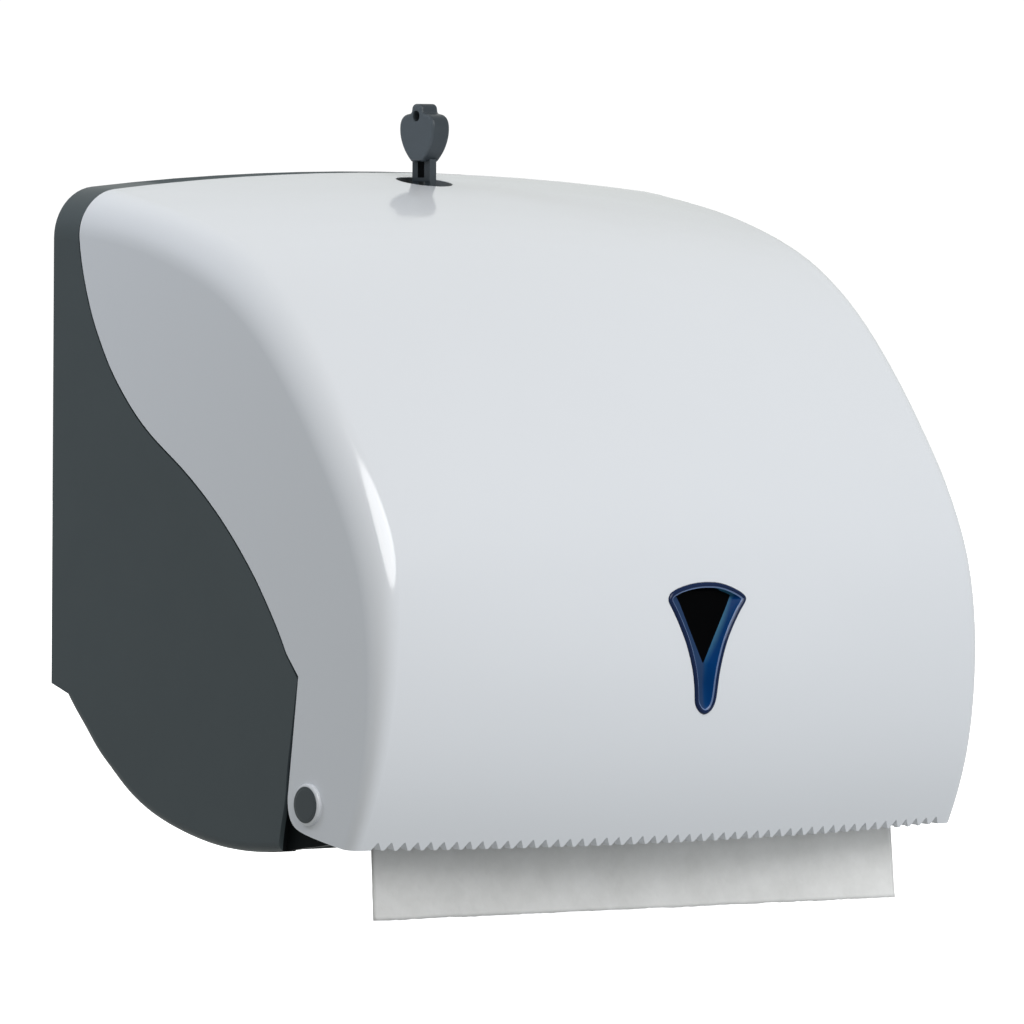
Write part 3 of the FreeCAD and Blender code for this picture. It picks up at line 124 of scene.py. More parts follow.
def locate(p):
    """Chord length whose section plane holds each point (x, y, z in mm, hood heights)."""
    lo = np.zeros(len(p))
    hi = np.full(len(p), _t[-1])
    for _ in range(28):
        mid = 0.5 * (lo + hi)
        y, z, c, r, tan = hood_at(mid)
        f = (p[:, 1] - y) * tan[:, 0] + (p[:, 2] - z) * tan[:, 1]
        ahead = f > 0
        lo = np.where(ahead, mid, lo)
        hi = np.where(ahead, hi, mid)
    return 0.5 * (lo + hi)


def arch_uv(s, x, h):
    """Region and parameter of a point (x, h) of the arch at s."""
    y, z, c, r, tan, n = hood_frame(s)
    rc = W * W / (2 * c)
    hc = -rc + np.sqrt((rc - r) ** 2 - (W - r) ** 2)
    ang = np.arctan2(W - r, hc + rc)
    ax = np.abs(x)
    th = np.arctan2(ax, h + rc)
    a = np.arctan2(ax - (W - r), h - hc)
    return rc, hc, ang, r, th, a


def hood_normal(p):
    """Outward normal of the skin nearest each point, and its depth under the skin."""
    s = locate(p)
    y, z, c, r, tan, n = hood_frame(s)
    h = (p[:, 1] - y) * n[:, 0] + (p[:, 2] - z) * n[:, 1]
    x = p[:, 0]
    sg = np.sign(x)
    rc, hc, ang, r, th, a = arch_uv(s, x, h)
    crown = th <= ang
    leg = (~crown) & (h < hc)
    # local 2d normals
    nx = np.where(crown, np.sin(th), np.where(leg, 1.0, np.sin(a))) * sg
    nh = np.where(crown, np.cos(th), np.where(leg, 0.0, np.cos(a)))
    depth = np.where(crown, rc - np.hypot(x, h + rc),
                     np.where(leg, W - np.abs(x), r - np.hypot(np.abs(x) - (W - r), h - hc)))
    # tilt along the profile, by a finite difference at a fixed place of the arch
    ds = 0.5

    def place(s2):
        y2, z2, c2, r2, t2, n2 = hood_frame(s2)
        rc2 = W * W / (2 * c2)
        hc2 = -rc2 + np.sqrt((rc2 - r2) ** 2 - (W - r2) ** 2)
        ang2 = np.arctan2(W - r2, hc2 + rc2)
        f1 = np.clip(th / ang, 0, 1)
        f2 = np.clip((a - ang) / (math.pi / 2 - ang), 0, 1)
        th2 = f1 * ang2
        a2 = ang2 + f2 * (math.pi / 2 - ang2)
        px = np.where(crown, rc2 * np.sin(th2), np.where(leg, W, (W - r2) + r2 * np.sin(a2)))
        ph = np.where(crown, -rc2 + rc2 * np.cos(th2), np.where(leg, h, hc2 + r2 * np.cos(a2)))
        return np.stack([px * sg, y2 + n2[:, 0] * ph, z2 + n2[:, 1] * ph], 1)
    d_s = place(np.clip(s + ds, 0, _t[-1])) - place(np.clip(s - ds, 0, _t[-1]))
    # in-section tangent
    tx, th_ = -nh * sg, np.abs(nx)
    d_u = np.stack([nh, -nx * n[:, 0], -nx * n[:, 1]], 1)
    nn = np.cross(d_u, d_s)
    nn /= np.maximum(np.linalg.norm(nn, axis=1), 1e-9)[:, None]
    ref = np.stack([nx, nh * n[:, 0], nh * n[:, 1]], 1)
    nn *= np.sign(np.sum(nn * ref, axis=1))[:, None]
    return nn, depth, ref


# ------------------------------------------------------------------ small helpers
def mm(v):
    """Hood millimetres to the row's metres."""
    v = np.atleast_2d(np.asarray(v, float)).copy()
    v[:, 2] -= DROP
    return v / 1000.0


def mesh_object(name, verts, faces, smooth=True):
    me = bpy.data.meshes.new(name)
    me.from_pydata([tuple(v) for v in verts], [], [tuple(f) for f in faces])
    me.validate()
    me.update()
    if smooth:
        me.shade_smooth()
    o = bpy.data.objects.new(name, me)
    bpy.context.scene.collection.objects.link(o)
    return o


def nodes_of(mat):
    mat.use_nodes = True
    nt = mat.node_tree
    nt.nodes.clear()
    out = nt.nodes.new("ShaderNodeOutputMaterial")
    bs = nt.nodes.new("ShaderNodeBsdfPrincipled")
    nt.links.new(bs.outputs[0], out.inputs[0])
    return nt, bs


def noise(nt, scale, detail=3.0, rough=0.5, stretch=None):
    tc = nt.nodes.new("ShaderNodeTexCoord")
    n = nt.nodes.new("ShaderNodeTexNoise")
    n.inputs["Scale"].default_value = scale
    n.inputs["Detail"].default_value = detail
    n.inputs["Roughness"].default_value = rough
    if stretch:
        mp = nt.nodes.new("ShaderNodeMapping")
        mp.inputs["Scale"].default_value = stretch
        nt.links.new(tc.outputs["Object"], mp.inputs["Vector"])
        nt.links.new(mp.outputs[0], n.inputs["Vector"])
    else:
        nt.links.new(tc.outputs["Object"], n.inputs["Vector"])
    return n


def ramp(nt, src, stops):
    r = nt.nodes.new("ShaderNodeValToRGB")
    el = r.color_ramp.elements
    while len(el) > len(stops):
        el.remove(el[-1])
    while len(el) < len(stops):
        el.new(0.5)
    for e, (p, c) in zip(el, stops):
        e.position = p
        e.color = (*c, 1) if len(c) == 3 else c
    nt.links.new(src, r.inputs[0])
    return r


def bump(nt, bs, height, strength, distance):
    b = nt.nodes.new("ShaderNodeBump")
    b.inputs["Strength"].default_value = strength
    b.inputs["Distance"].default_value = distance
    nt.links.new(height, b.inputs["Height"])
    nt.links.new(b.outputs[0], bs.inputs["Normal"])
    return b


def grey(v):
    return (v, v, v)


def plastic(name, colour, rough, var=0.03, tex_scale=900.0, tex=0.15, dist=0.00003,
            rough_var=0.04, coat=0.0, coat_rough=0.1, spec=0.5, metallic=0.0, rvar_scale=60.0):
    """Moulded plastic: a little colour drift, uneven gloss and a fine spark-eroded grain."""
    m = bpy.data.materials.new(name)
    nt, bs = nodes_of(m)
    big = noise(nt, 9.0, 4.0, 0.55)
    lo = tuple(max(0.0, c * (1 - var)) for c in colour)
    hi = tuple(min(1.0, c * (1 + var)) for c in colour)
    col = ramp(nt, big.outputs["Fac"], [(0.3, lo), (0.7, hi)])
    nt.links.new(col.outputs[0], bs.inputs["Base Color"])
    rn = noise(nt, rvar_scale, 4.0, 0.6)
    rr = ramp(nt, rn.outputs["Fac"], [(0.3, grey(max(0.02, rough - rough_var))),
                                      (0.7, grey(min(1.0, rough + rough_var)))])
    nt.links.new(rr.outputs[0], bs.inputs["Roughness"])
    if tex:
        fine = noise(nt, tex_scale, 2.0, 0.6)
        bump(nt, bs, fine.outputs["Fac"], tex, dist)
    bs.inputs["Specular IOR Level"].default_value = spec
    bs.inputs["Coat Weight"].default_value = coat
    bs.inputs["Coat Roughness"].default_value = coat_rough
    bs.inputs["Metallic"].default_value = metallic
    return m


def shade(mat, limits, factor, colour=True):
    """Scale the base colour and the gloss by factor inside a soft box, in the row's metres: painted shade
    where the factor is below 1, painted light where it is above 1.
    """
    nt = mat.node_tree
    bs = [n for n in nt.nodes if n.type == "BSDF_PRINCIPLED"][0]
    tc = nt.nodes.new("ShaderNodeTexCoord")
    sep = nt.nodes.new("ShaderNodeSeparateXYZ")
    nt.links.new(tc.outputs["Object"], sep.inputs[0])
    prev = None
    for axis, lo, hi, soft in limits:
        for edge, a, b in ((lo, 0.0, 1.0), (hi, 1.0, 0.0)):
            mr = nt.nodes.new("ShaderNodeMapRange")
            for key, val in (("From Min", edge - soft), ("From Max", edge + soft), ("To Min", a),
                             ("To Max", b)):
                mr.inputs[key].default_value = val
            nt.links.new(sep.outputs[axis], mr.inputs["Value"])
            if prev is None:
                prev = mr.outputs[0]
                continue
            mu = nt.nodes.new("ShaderNodeMath")
            mu.operation = "MULTIPLY"
            nt.links.new(prev, mu.inputs[0])
            nt.links.new(mr.outputs[0], mu.inputs[1])
            prev = mu.outputs[0]
    f = nt.nodes.new("ShaderNodeMapRange")
    f.inputs["To Min"].default_value = 1.0
    f.inputs["To Max"].default_value = factor
    nt.links.new(prev, f.inputs["Value"])
    if colour:
        old = bs.inputs["Base Color"].links[0].from_socket
        vm = nt.nodes.new("ShaderNodeVectorMath")
        vm.operation = "SCALE"
        nt.links.new(old, vm.inputs[0])
        nt.links.new(f.outputs[0], vm.inputs["Scale"])
        nt.links.new(vm.outputs[0], bs.inputs["Base Color"])
    gl = nt.nodes.new("ShaderNodeMath")
    gl.operation = "MULTIPLY"
    gl.inputs[1].default_value = bs.inputs["Specular IOR Level"].default_value
    if bs.inputs["Specular IOR Level"].links:
        nt.links.new(bs.inputs["Specular IOR Level"].links[0].from_socket, gl.inputs[1])
    nt.links.new(f.outputs[0], gl.inputs[0])
    nt.links.new(gl.outputs[0], bs.inputs["Specular IOR Level"])


def metal(name, colour, rough, stretch=(40, 900, 900), strength=0.12):
    m = bpy.data.materials.new(name)
    nt, bs = nodes_of(m)
    n = noise(nt, 1.0, 3.0, 0.6, stretch)
    col = ramp(nt, n.outputs["Fac"], [(0.25, tuple(c * 0.86 for c in colour)), (0.75, colour)])
    nt.links.new(col.outputs[0], bs.inputs["Base Color"])
    rr = ramp(nt, n.outputs["Fac"], [(0.25, grey(rough + 0.1)), (0.75, grey(rough))])
    nt.links.new(rr.outputs[0], bs.inputs["Roughness"])
    bs.inputs["Metallic"].default_value = 1.0
    bump(nt, bs, n.outputs["Fac"], strength, 0.00005)
    return m


# ------------------------------------------------------------------ materials
M = {}
M["cover"] = plastic("cover_white", (0.795, 0.815, 0.858), 0.118, var=0.006, tex_scale=200.0, tex=0.03,
                     dist=0.00002, rough_var=0.015, spec=1.0)
M["casing"] = plastic("casing_grey", (0.067, 0.085, 0.093), 0.42, var=0.05, tex_scale=1500.0, tex=0.22,
                      dist=0.00004, rough_var=0.05, spec=0.45)
# painted shade: the sunk web between the ears hardly catches any light, so its colour and gloss are
# darkened here
shade(M["casing"], [("X", -0.1164, 0.1164, 0.0001), ("Y", -1.0, -0.108, 0.0001),
                    ("Z", -1.0, -0.089, 0.0004)], 0.12)
# the top behind the cover is matt: seen almost along it, it stays dark
shade(M["casing"], [("X", -0.090, 0.14, 0.006), ("Y", -0.0130, 0.02, 0.0001),
                    ("Z", 0.0690, 0.20, 0.002)], 0.02, colour=False)
M["key"] = plastic("key_grey", (0.092, 0.112, 0.130), 0.34, var=0.06, tex_scale=1300.0, tex=0.2,
                   dist=0.00004, rough_var=0.06)
# painted shade: all of the key except its two broad faces, that is its narrow edges, is darkened
shade(M["key"], [("X", -0.0030, 0.0030, 0.0004)], 0.56)
# painted shade: the slot through the key's stem is darkened almost to black
shade(M["key"], [("Y", -0.03455, -0.03125, 0.00003), ("Z", 0.0834, 0.0885, 0.00003)], 0.10)
M["lock"] = plastic("lock_grey", (0.027, 0.030, 0.033), 0.50, var=0.05, tex_scale=1500.0, tex=0.15,
                    spec=0.20)
# painted light: a painted sheen on the lock's right (+X) side, its colour and gloss raised 3.2 times
shade(M["lock"], [("X", 0.0030, 0.0200, 0.0030)], 3.2)
M["pin"] = plastic("pin_grey", (0.060, 0.074, 0.082), 0.30, var=0.05, tex_scale=1200.0, tex=0.15)
M["part"] = plastic("part_grey", (0.34, 0.35, 0.36), 0.45, var=0.05, tex_scale=1200.0, tex=0.18)
M["dark"] = plastic("dark_plastic", (0.022, 0.024, 0.026), 0.42, var=0.10, tex_scale=1200.0, tex=0.2)
M["gear"] = plastic("gear_white", (0.72, 0.70, 0.63), 0.40, var=0.03, tex_scale=1200.0, tex=0.12)
M["rubber"] = plastic("tyre_rubber", (0.016, 0.016, 0.017), 0.72, var=0.15, tex_scale=700.0, tex=0.5,
                      dist=0.00012, rough_var=0.08, spec=0.35)
M["steel"] = metal("steel", (0.60, 0.60, 0.61), 0.28)


def paper_material():
    """Two-ply towel: quilted emboss, loose fibres, slight mottling, a soft sheen at the edges, and
    painted light that dims it towards -X.
    """
    m = bpy.data.materials.new("paper")
    nt, bs = nodes_of(m)
    mott = noise(nt, 70.0, 5.0, 0.65)
    col = ramp(nt, mott.outputs["Fac"], [(0.30, (0.76, 0.755, 0.745)), (0.70, (0.86, 0.855, 0.85))])
    bs.inputs["Roughness"].default_value = 0.95
    bs.inputs["Specular IOR Level"].default_value = 0.15
    bs.inputs["Sheen Weight"].default_value = 0.15
    tc = nt.nodes.new("ShaderNodeTexCoord")
    sep = nt.nodes.new("ShaderNodeSeparateXYZ")
    nt.links.new(tc.outputs["Object"], sep.inputs[0])
    # painted light: the base colour dims towards -X and brightens towards +X, as the light falls off
    # across the towel
    side = nt.nodes.new("ShaderNodeMapRange")
    for key, val in (("From Min", -0.095), ("From Max", 0.095), ("To Min", 0.85), ("To Max", 1.03)):
        side.inputs[key].default_value = val
    nt.links.new(sep.outputs["X"], side.inputs["Value"])
    painted_light_falloff = nt.nodes.new("ShaderNodeVectorMath")
    painted_light_falloff.operation = "SCALE"
    nt.links.new(col.outputs[0], painted_light_falloff.inputs[0])
    nt.links.new(side.outputs[0], painted_light_falloff.inputs["Scale"])
    nt.links.new(painted_light_falloff.outputs[0], bs.inputs["Base Color"])
    vor = nt.nodes.new("ShaderNodeTexVoronoi")
    vor.feature = "SMOOTH_F1"
    vor.inputs["Scale"].default_value = 430.0
    nt.links.new(tc.outputs["Object"], vor.inputs["Vector"])
    fib = noise(nt, 900.0, 5.0, 0.7)
    mix = nt.nodes.new("ShaderNodeMath")
    mix.operation = "MULTIPLY_ADD"
    mix.inputs[1].default_value = 0.5
    nt.links.new(fib.outputs["Fac"], mix.inputs[0])
    nt.links.new(vor.outputs["Distance"], mix.inputs[2])
    bump(nt, bs, mix.outputs[0], 0.55, 0.00035)
    return m


M["paper"] = paper_material()


def board_material():
    m = bpy.data.materials.new("board")
    nt, bs = nodes_of(m)
    n = noise(nt, 1.0, 6.0, 0.7, (60, 700, 700))
    col = ramp(nt, n.outputs["Fac"], [(0.25, (0.30, 0.21, 0.125)), (0.75, (0.46, 0.345, 0.22))])
    nt.links.new(col.outputs[0], bs.inputs["Base Color"])
    bs.inputs["Roughness"].default_value = 0.9
    bump(nt, bs, n.outputs["Fac"], 0.3, 0.0001)
    return m


M["board"] = board_material()


def roll_side_material():
    """Wound paper: fine rings on the ends, emboss on the outside."""
    m = bpy.data.materials.new("paper_roll")
    nt, bs = nodes_of(m)
    tc = nt.nodes.new("ShaderNodeTexCoord")
    sep = nt.nodes.new("ShaderNodeSeparateXYZ")
    nt.links.new(tc.outputs["Object"], sep.inputs[0])
    # radius about the roll's axis
    dy = nt.nodes.new("ShaderNodeMath"); dy.operation = "ADD"; dy.inputs[1].default_value = 0.078
    dz = nt.nodes.new("ShaderNodeMath"); dz.operation = "ADD"; dz.inputs[1].default_value = 0.022
    nt.links.new(sep.outputs["Y"], dy.inputs[0])
    nt.links.new(sep.outputs["Z"], dz.inputs[0])
    comb = nt.nodes.new("ShaderNodeCombineXYZ")
    nt.links.new(dy.outputs[0], comb.inputs[0])
    nt.links.new(dz.outputs[0], comb.inputs[1])
    ln = nt.nodes.new("ShaderNodeVectorMath"); ln.operation = "LENGTH"
    nt.links.new(comb.outputs[0], ln.inputs[0])
    sc = nt.nodes.new("ShaderNodeMath"); sc.operation = "MULTIPLY"; sc.inputs[1].default_value = 2200.0
    nt.links.new(ln.outputs["Value"], sc.inputs[0])
    ring_n = nt.nodes.new("ShaderNodeTexNoise")
    ring_n.noise_dimensions = "1D"
    ring_n.inputs["Scale"].default_value = 1.0
    ring_n.inputs["Detail"].default_value = 5.0
    nt.links.new(sc.outputs[0], ring_n.inputs["W"])
    col = ramp(nt, ring_n.outputs["Fac"], [(0.3, (0.66, 0.655, 0.64)), (0.7, (0.86, 0.855, 0.845))])
    nt.links.new(col.outputs[0], bs.inputs["Base Color"])
    bs.inputs["Roughness"].default_value = 0.95
    bs.inputs["Specular IOR Level"].default_value = 0.15
    fib = noise(nt, 600.0, 5.0, 0.7)
    add = nt.nodes.new("ShaderNodeMath"); add.operation = "ADD"
    nt.links.new(ring_n.outputs["Fac"], add.inputs[0])
    nt.links.new(fib.outputs["Fac"], add.inputs[1])
    bump(nt, bs, add.outputs[0], 0.45, 0.0002)
    return m


M["roll"] = roll_side_material()


def glossy(name, colour, rough, coat=0.2, spec=0.35):
    m = bpy.data.materials.new(name)
    nt, bs = nodes_of(m)
    n = noise(nt, 45.0, 3.0, 0.5)
    col = ramp(nt, n.outputs["Fac"], [(0.3, tuple(c * 0.85 for c in colour)), (0.7, colour)])
    nt.links.new(col.outputs[0], bs.inputs["Base Color"])
    rr = ramp(nt, n.outputs["Fac"], [(0.3, grey(rough)), (0.7, grey(rough + 0.04))])
    nt.links.new(rr.outputs[0], bs.inputs["Roughness"])
    bs.inputs["Coat Weight"].default_value = coat
    bs.inputs["Coat Roughness"].default_value = 0.05
    bs.inputs["Specular IOR Level"].default_value = spec
    fine = noise(nt, 300.0, 2.0, 0.5)
    bump(nt, bs, fine.outputs["Fac"], 0.04, 0.00002)
    return m


M["blue_rim"] = glossy("window_rim_blue", (0.0006, 0.0125, 0.062), 0.12, coat=0.30, spec=0.25)
# painted highlight: the lip where the bead turns down into the pocket is a light blue
M["blue_line"] = glossy("window_lip_painted_highlight", (0.17, 0.25, 0.46), 0.14)
M["blue_deep"] = glossy("window_deep_blue", (0.0004, 0.040, 0.165), 0.22, coat=0.0, spec=0.06)
# painted shade: a black for the pocket's floor, standing for the dark inside seen through the lens
M["black_gloss"] = glossy("window_painted_interior_shade", (0.0005, 0.0006, 0.001), 0.35, coat=0.0, spec=0.04)


def painted_pocket_light(mat):
    """Painted light on the pocket's wall: on the right it pales to a painted highlight where it meets the
    dark floor, most of all near the top; on the left it is painted a greyer blue.
    """
    nt = mat.node_tree
    bs = [n for n in nt.nodes if n.type == "BSDF_PRINCIPLED"][0]
    tc = nt.nodes.new("ShaderNodeTexCoord")
    sep = nt.nodes.new("ShaderNodeSeparateXYZ")
    nt.links.new(tc.outputs["Object"], sep.inputs[0])

    def math_node(op, a, b=None, c=None):
        n = nt.nodes.new("ShaderNodeMath")
        n.operation = op
        for k, v in enumerate((a, b, c)):
            if v is None:
                continue
            if isinstance(v, (int, float)):
                n.inputs[k].default_value = v
            else:
                nt.links.new(v, n.inputs[k])
        return n.outputs[0]

    ax = math_node("ABSOLUTE", math_node("ADD", sep.outputs["X"], 0.0004))
    edge = math_node("MULTIPLY_ADD", sep.outputs["Z"], 0.505, 0.505 * (DROP - 53.2) / 1000.0)
    gap = math_node("SUBTRACT", ax, math_node("MAXIMUM", edge, 0.0))
    near = nt.nodes.new("ShaderNodeMapRange")
    for key, val in (("From Min", 0.0002), ("From Max", 0.0016), ("To Min", 1.0), ("To Max", 0.0)):
        near.inputs[key].default_value = val
    nt.links.new(gap, near.inputs["Value"])
    high = nt.nodes.new("ShaderNodeMapRange")
    for key, val in (("From Min", -0.066), ("From Max", -0.050), ("To Min", 0.12), ("To Max", 1.0)):
        high.inputs[key].default_value = val
    nt.links.new(sep.outputs["Z"], high.inputs["Value"])
    right = nt.nodes.new("ShaderNodeMapRange")
    for key, val in (("From Min", -0.0006), ("From Max", 0.0004), ("To Min", 0.0), ("To Max", 1.0)):
        right.inputs[key].default_value = val
    nt.links.new(sep.outputs["X"], right.inputs["Value"])
    w = math_node("MULTIPLY", math_node("MULTIPLY", near.outputs[0], high.outputs[0]), right.outputs[0])
    # painted highlight: on the right, high up and near the floor's edge, the wall is mixed towards a pale
    # teal
    old = bs.inputs["Base Color"].links[0].from_socket
    mix = nt.nodes.new("ShaderNodeMix")
    mix.data_type = "RGBA"
    nt.links.new(w, mix.inputs[0])
    nt.links.new(old, mix.inputs[6])
    mix.inputs[7].default_value = (0.035, 0.15, 0.26, 1)
    # painted light: the left wall is painted a greyer blue
    pale = nt.nodes.new("ShaderNodeMix")
    pale.data_type = "RGBA"
    pale.inputs[7].default_value = (0.026, 0.055, 0.13, 1)
    nt.links.new(math_node("SUBTRACT", 1.0, right.outputs[0]), pale.inputs[0])
    nt.links.new(mix.outputs[2], pale.inputs[6])
    nt.links.new(pale.outputs[2], bs.inputs["Base Color"])


# painted light and painted highlight on the pocket's walls
painted_pocket_light(M["blue_deep"])

SLOT_MAT = {"casing_grey": "casing", "cover_white": "cover", "window_blue": "blue_rim", "key_grey": "key",
            "part_grey": "part", "dark_plastic": "dark", "gear_white": "gear", "steel": "steel",
            "tyre_rubber": "rubber", "paper": "paper", "board": "board"}
slot_of = {s["node"]: s["material_slot"] for s in frame["record"]["subparts"]}
for name, o in N.items():
    mat = M[SLOT_MAT[slot_of[name]]]
    if name == "paper_roll":
        mat = M["roll"]
    if name in ("lock_barrel", "lock_housing"):
        mat = M["lock"]
    if name in ("hinge_pin_left", "hinge_pin_right"):
        mat = M["pin"]
    o.data.materials.clear()
    o.data.materials.append(mat)


# ------------------------------------------------------------------ the cover's shell
def shell_copy(node, body, mat, limits):
    """The CAD shell again, with the hood's own normals on its skins so that it shades smoothly."""
    src = N[node]
    me = src.data.copy()
    o = bpy.data.objects.new(node + "_skin", me)
    bpy.context.scene.collection.objects.link(o)
    bm = bmesh.new()
    bm.from_mesh(me)
    bmesh.ops.remove_doubles(bm, verts=bm.verts, dist=2e-6)
    bm.to_mesh(me)
    bm.free()
    me.shade_smooth()
    nv, nl = len(me.vertices), len(me.loops)
    co = np.empty(nv * 3)
    me.vertices.foreach_get("co", co)
    co = co.reshape(-1, 3) * 1000.0
    co[:, 2] += DROP
    hn, depth, ref = hood_normal(co)
    lv = np.empty(nl, np.int32)
    me.loops.foreach_get("vertex_index", lv)
    pn = np.empty(len(me.polygons) * 3)
    me.polygons.foreach_get("normal", pn)
    pn = pn.reshape(-1, 3)
    tot = np.empty(len(me.polygons), np.int32)
    me.polygons.foreach_get("loop_total", tot)
    face_of_loop = np.repeat(np.arange(len(me.polygons)), tot)
    fnl = pn[face_of_loop]
    outer = (np.abs(depth[lv]) < 0.12) & (np.sum(hn[lv] * fnl, axis=1) > 0.93)
    inner = (np.abs(depth[lv] - limits) < 0.12) & (np.sum(hn[lv] * fnl, axis=1) < -0.93)
    # a face counts only if all its corners do
    for flag in (outer, inner):
        bad = np.zeros(len(me.polygons), bool)
        np.logical_or.at(bad, face_of_loop, ~flag)
        flag &= ~bad[face_of_loop]
    normals = fnl.copy()
    normals[outer] = hn[lv][outer]
    normals[inner] = -hn[lv][inner]
    rest = ~(outer | inner)
    # elsewhere, smooth over faces within 30 degrees of each other
    if rest.any():
        order = np.argsort(lv, kind="stable")
        starts = np.searchsorted(lv[order], np.arange(nv + 1))
        area = np.empty(len(me.polygons))
        me.polygons.foreach_get("area", area)
        for v in np.unique(lv[rest]):
            ids = order[starts[v]:starts[v + 1]]
            f = face_of_loop[ids]
            d = fnl[ids] @ fnl[ids].T
            wgt = (d > 0.86) * area[f][None, :]
            s = wgt @ fnl[ids]
            s /= np.maximum(np.linalg.norm(s, axis=1), 1e-12)[:, None]
            sel = rest[ids]
            normals[ids[sel]] = s[sel]
    me.normals_split_custom_set([tuple(n) for n in normals])
    me.materials.clear()
    me.materials.append(mat)
    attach(o, body)
    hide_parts(node)
    return o


cover = shell_copy("front_cover", "cover", M["cover"], 2.6)


# ------------------------------------------------------------------ lock sleeve and pivot caps
def with_extra(node, body, name, mat, extra):
    """The CAD piece again with extra closed meshes added to it."""
    me = N[node].data.copy()
    o = bpy.data.objects.new(name, me)
    bpy.context.scene.collection.objects.link(o)
    bm = bmesh.new()
    bm.from_mesh(me)
    for verts, faces in extra:
        vs = [bm.verts.new(tuple(v)) for v in verts]
        for f in faces:
            q = bm.faces.new([vs[k] for k in f])
            q.smooth = len(f) == 4
    bmesh.ops.recalc_face_normals(bm, faces=bm.faces)
    bm.to_mesh(me)
    bm.free()
    me.materials.clear()
    me.materials.append(mat)
    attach(o, body)
    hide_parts(node)
    return o


def sleeve(radius_out, radius_in, y_front, z_low, gap, n=96):
    """Tube that lines the lock's opening, its top edge just below the hood's surface."""
    out = []
    for r, top in ((radius_out, False), (radius_out, True), (radius_in, True), (radius_in, False)):
        for k in range(n):
            a = 2 * math.pi * k / n
            x, off = r * math.sin(a), y_front + r * math.cos(a)
            z = z_low
            if top:
                q = np.interp(off, HOOD[:, 0], HOOD[:, 1])
                c = np.interp(off, HOOD[:, 0], HOOD[:, 2])
                z = q - x * x * c / (W * W) - gap
            out.append((x, -off, z))
    faces = []
    for ring in range(4):
        for k in range(n):
            a, b = ring * n + k, ring * n + (k + 1) % n
            c = ((ring + 1) % 4) * n
            faces.append((a, b, c + (k + 1) % n, c + k))
    return mm(out), faces


def cap(s, n=96):
    """Flat cap with a turned edge on the end of a hinge pin."""
    prof = [(117.6, 5.18), (119.32, 5.18), (119.32, 5.42), (119.44, 5.42), (119.52, 5.34), (119.54, 5.22), (119.54, 3.0)]
    out = []
    for xx, r in prof:
        for k in range(n):
            a = 2 * math.pi * k / n
            out.append((s * xx, -129.7 + r * math.cos(a), 12.8 + r * math.sin(a)))
    faces = []
    for ring in range(len(prof) - 1):
        for k in range(n):
            faces.append((ring * n + k, ring * n + (k + 1) % n, (ring + 1) * n + (k + 1) % n,
                          (ring + 1) * n + k))
    faces.append(tuple(range(n)))
    faces.append(tuple(range((len(prof) - 1) * n, len(prof) * n)))
    return mm(out), faces


with_extra("lock_housing", "cover", "lock_housing_lined", M["lock"],
           [sleeve(8.80, 8.60, 32.9, 192.5, 0.12)])
for sign, side_name in ((-1, "left"), (1, "right")):
    with_extra("hinge_pin_" + side_name, "base", "hinge_pin_" + side_name + "_capped", M["pin"],
               [cap(sign)])


# ------------------------------------------------------------------ the level window
WINDOW = [(-15.2, 73.0), (-14.5, 74.6), (-13.0, 75.6), (-11.0, 76.4), (-8.4, 77.1), (-5.2, 77.7),
          (-1.9, 78.0), (1.4, 78.0), (4.6, 77.75), (7.3, 77.15), (9.8, 76.35), (12.1, 75.35),
          (14.1, 74.2), (15.1, 72.9), (14.7, 71.7), (13.1, 69.7), (11.2, 67.1), (9.0, 63.5),
          (7.15, 59.6), (5.85, 55.6), (4.95, 51.6), (4.45, 47.6), (4.2, 44.0), (3.8, 41.6),
          (3.0, 39.9), (1.6, 38.6), (0.0, 38.1), (-1.6, 38.6), (-3.1, 39.9), (-4.1, 41.6),
          (-4.5, 44.0), (-5.05, 47.6), (-5.95, 51.6), (-7.2, 55.6), (-8.7, 59.6), (-10.5, 63.5),
          (-12.3, 67.1), (-13.7, 69.7), (-14.8, 71.6)]


def closed_curve(pts, count):
    """Periodic cubic spline through the points, sampled evenly along its length."""
    p = np.array(pts, float)
    n = len(p)
    nxt = np.roll(p, -1, axis=0)
    h = np.hypot(*(nxt - p).T)
    a = np.zeros((n, n))
    b = np.zeros((n, 2))
    for i in range(n):
        a[i, (i - 1) % n] += h[i - 1]
        a[i, i] += 2 * (h[i - 1] + h[i])
        a[i, (i + 1) % n] += h[i]
        b[i] = 6 * ((nxt[i] - p[i]) / h[i] - (p[i] - p[i - 1]) / h[i - 1])
    m = np.linalg.solve(a, b)
    out = []
    for i in range(n):
        t = np.linspace(0, 1, 40, endpoint=False)[:, None]
        u, v = 1 - t, t
        out.append(u * p[i] + v * nxt[i] + ((u ** 3 - u) * m[i] + (v ** 3 - v) * m[(i + 1) % n]) *
                   h[i] ** 2 / 6)
    d = np.concatenate(out)
    d = np.vstack([d, d[:1]])
    s = np.concatenate([[0], np.cumsum(np.hypot(*np.diff(d, axis=0).T))])
    q = np.linspace(0, s[-1], count, endpoint=False)
    return np.stack([np.interp(q, s, d[:, 0]), np.interp(q, s, d[:, 1])], 1)


def inset(curve, dist):
    """The closed clockwise curve moved inwards, each point along a normal taken across three points
    either side.
    """
    k = 3
    t = np.roll(curve, -k, axis=0) - np.roll(curve, k, axis=0)
    t /= np.hypot(*t.T)[:, None]
    return curve + np.stack([t[:, 1], -t[:, 0]], 1) * dist


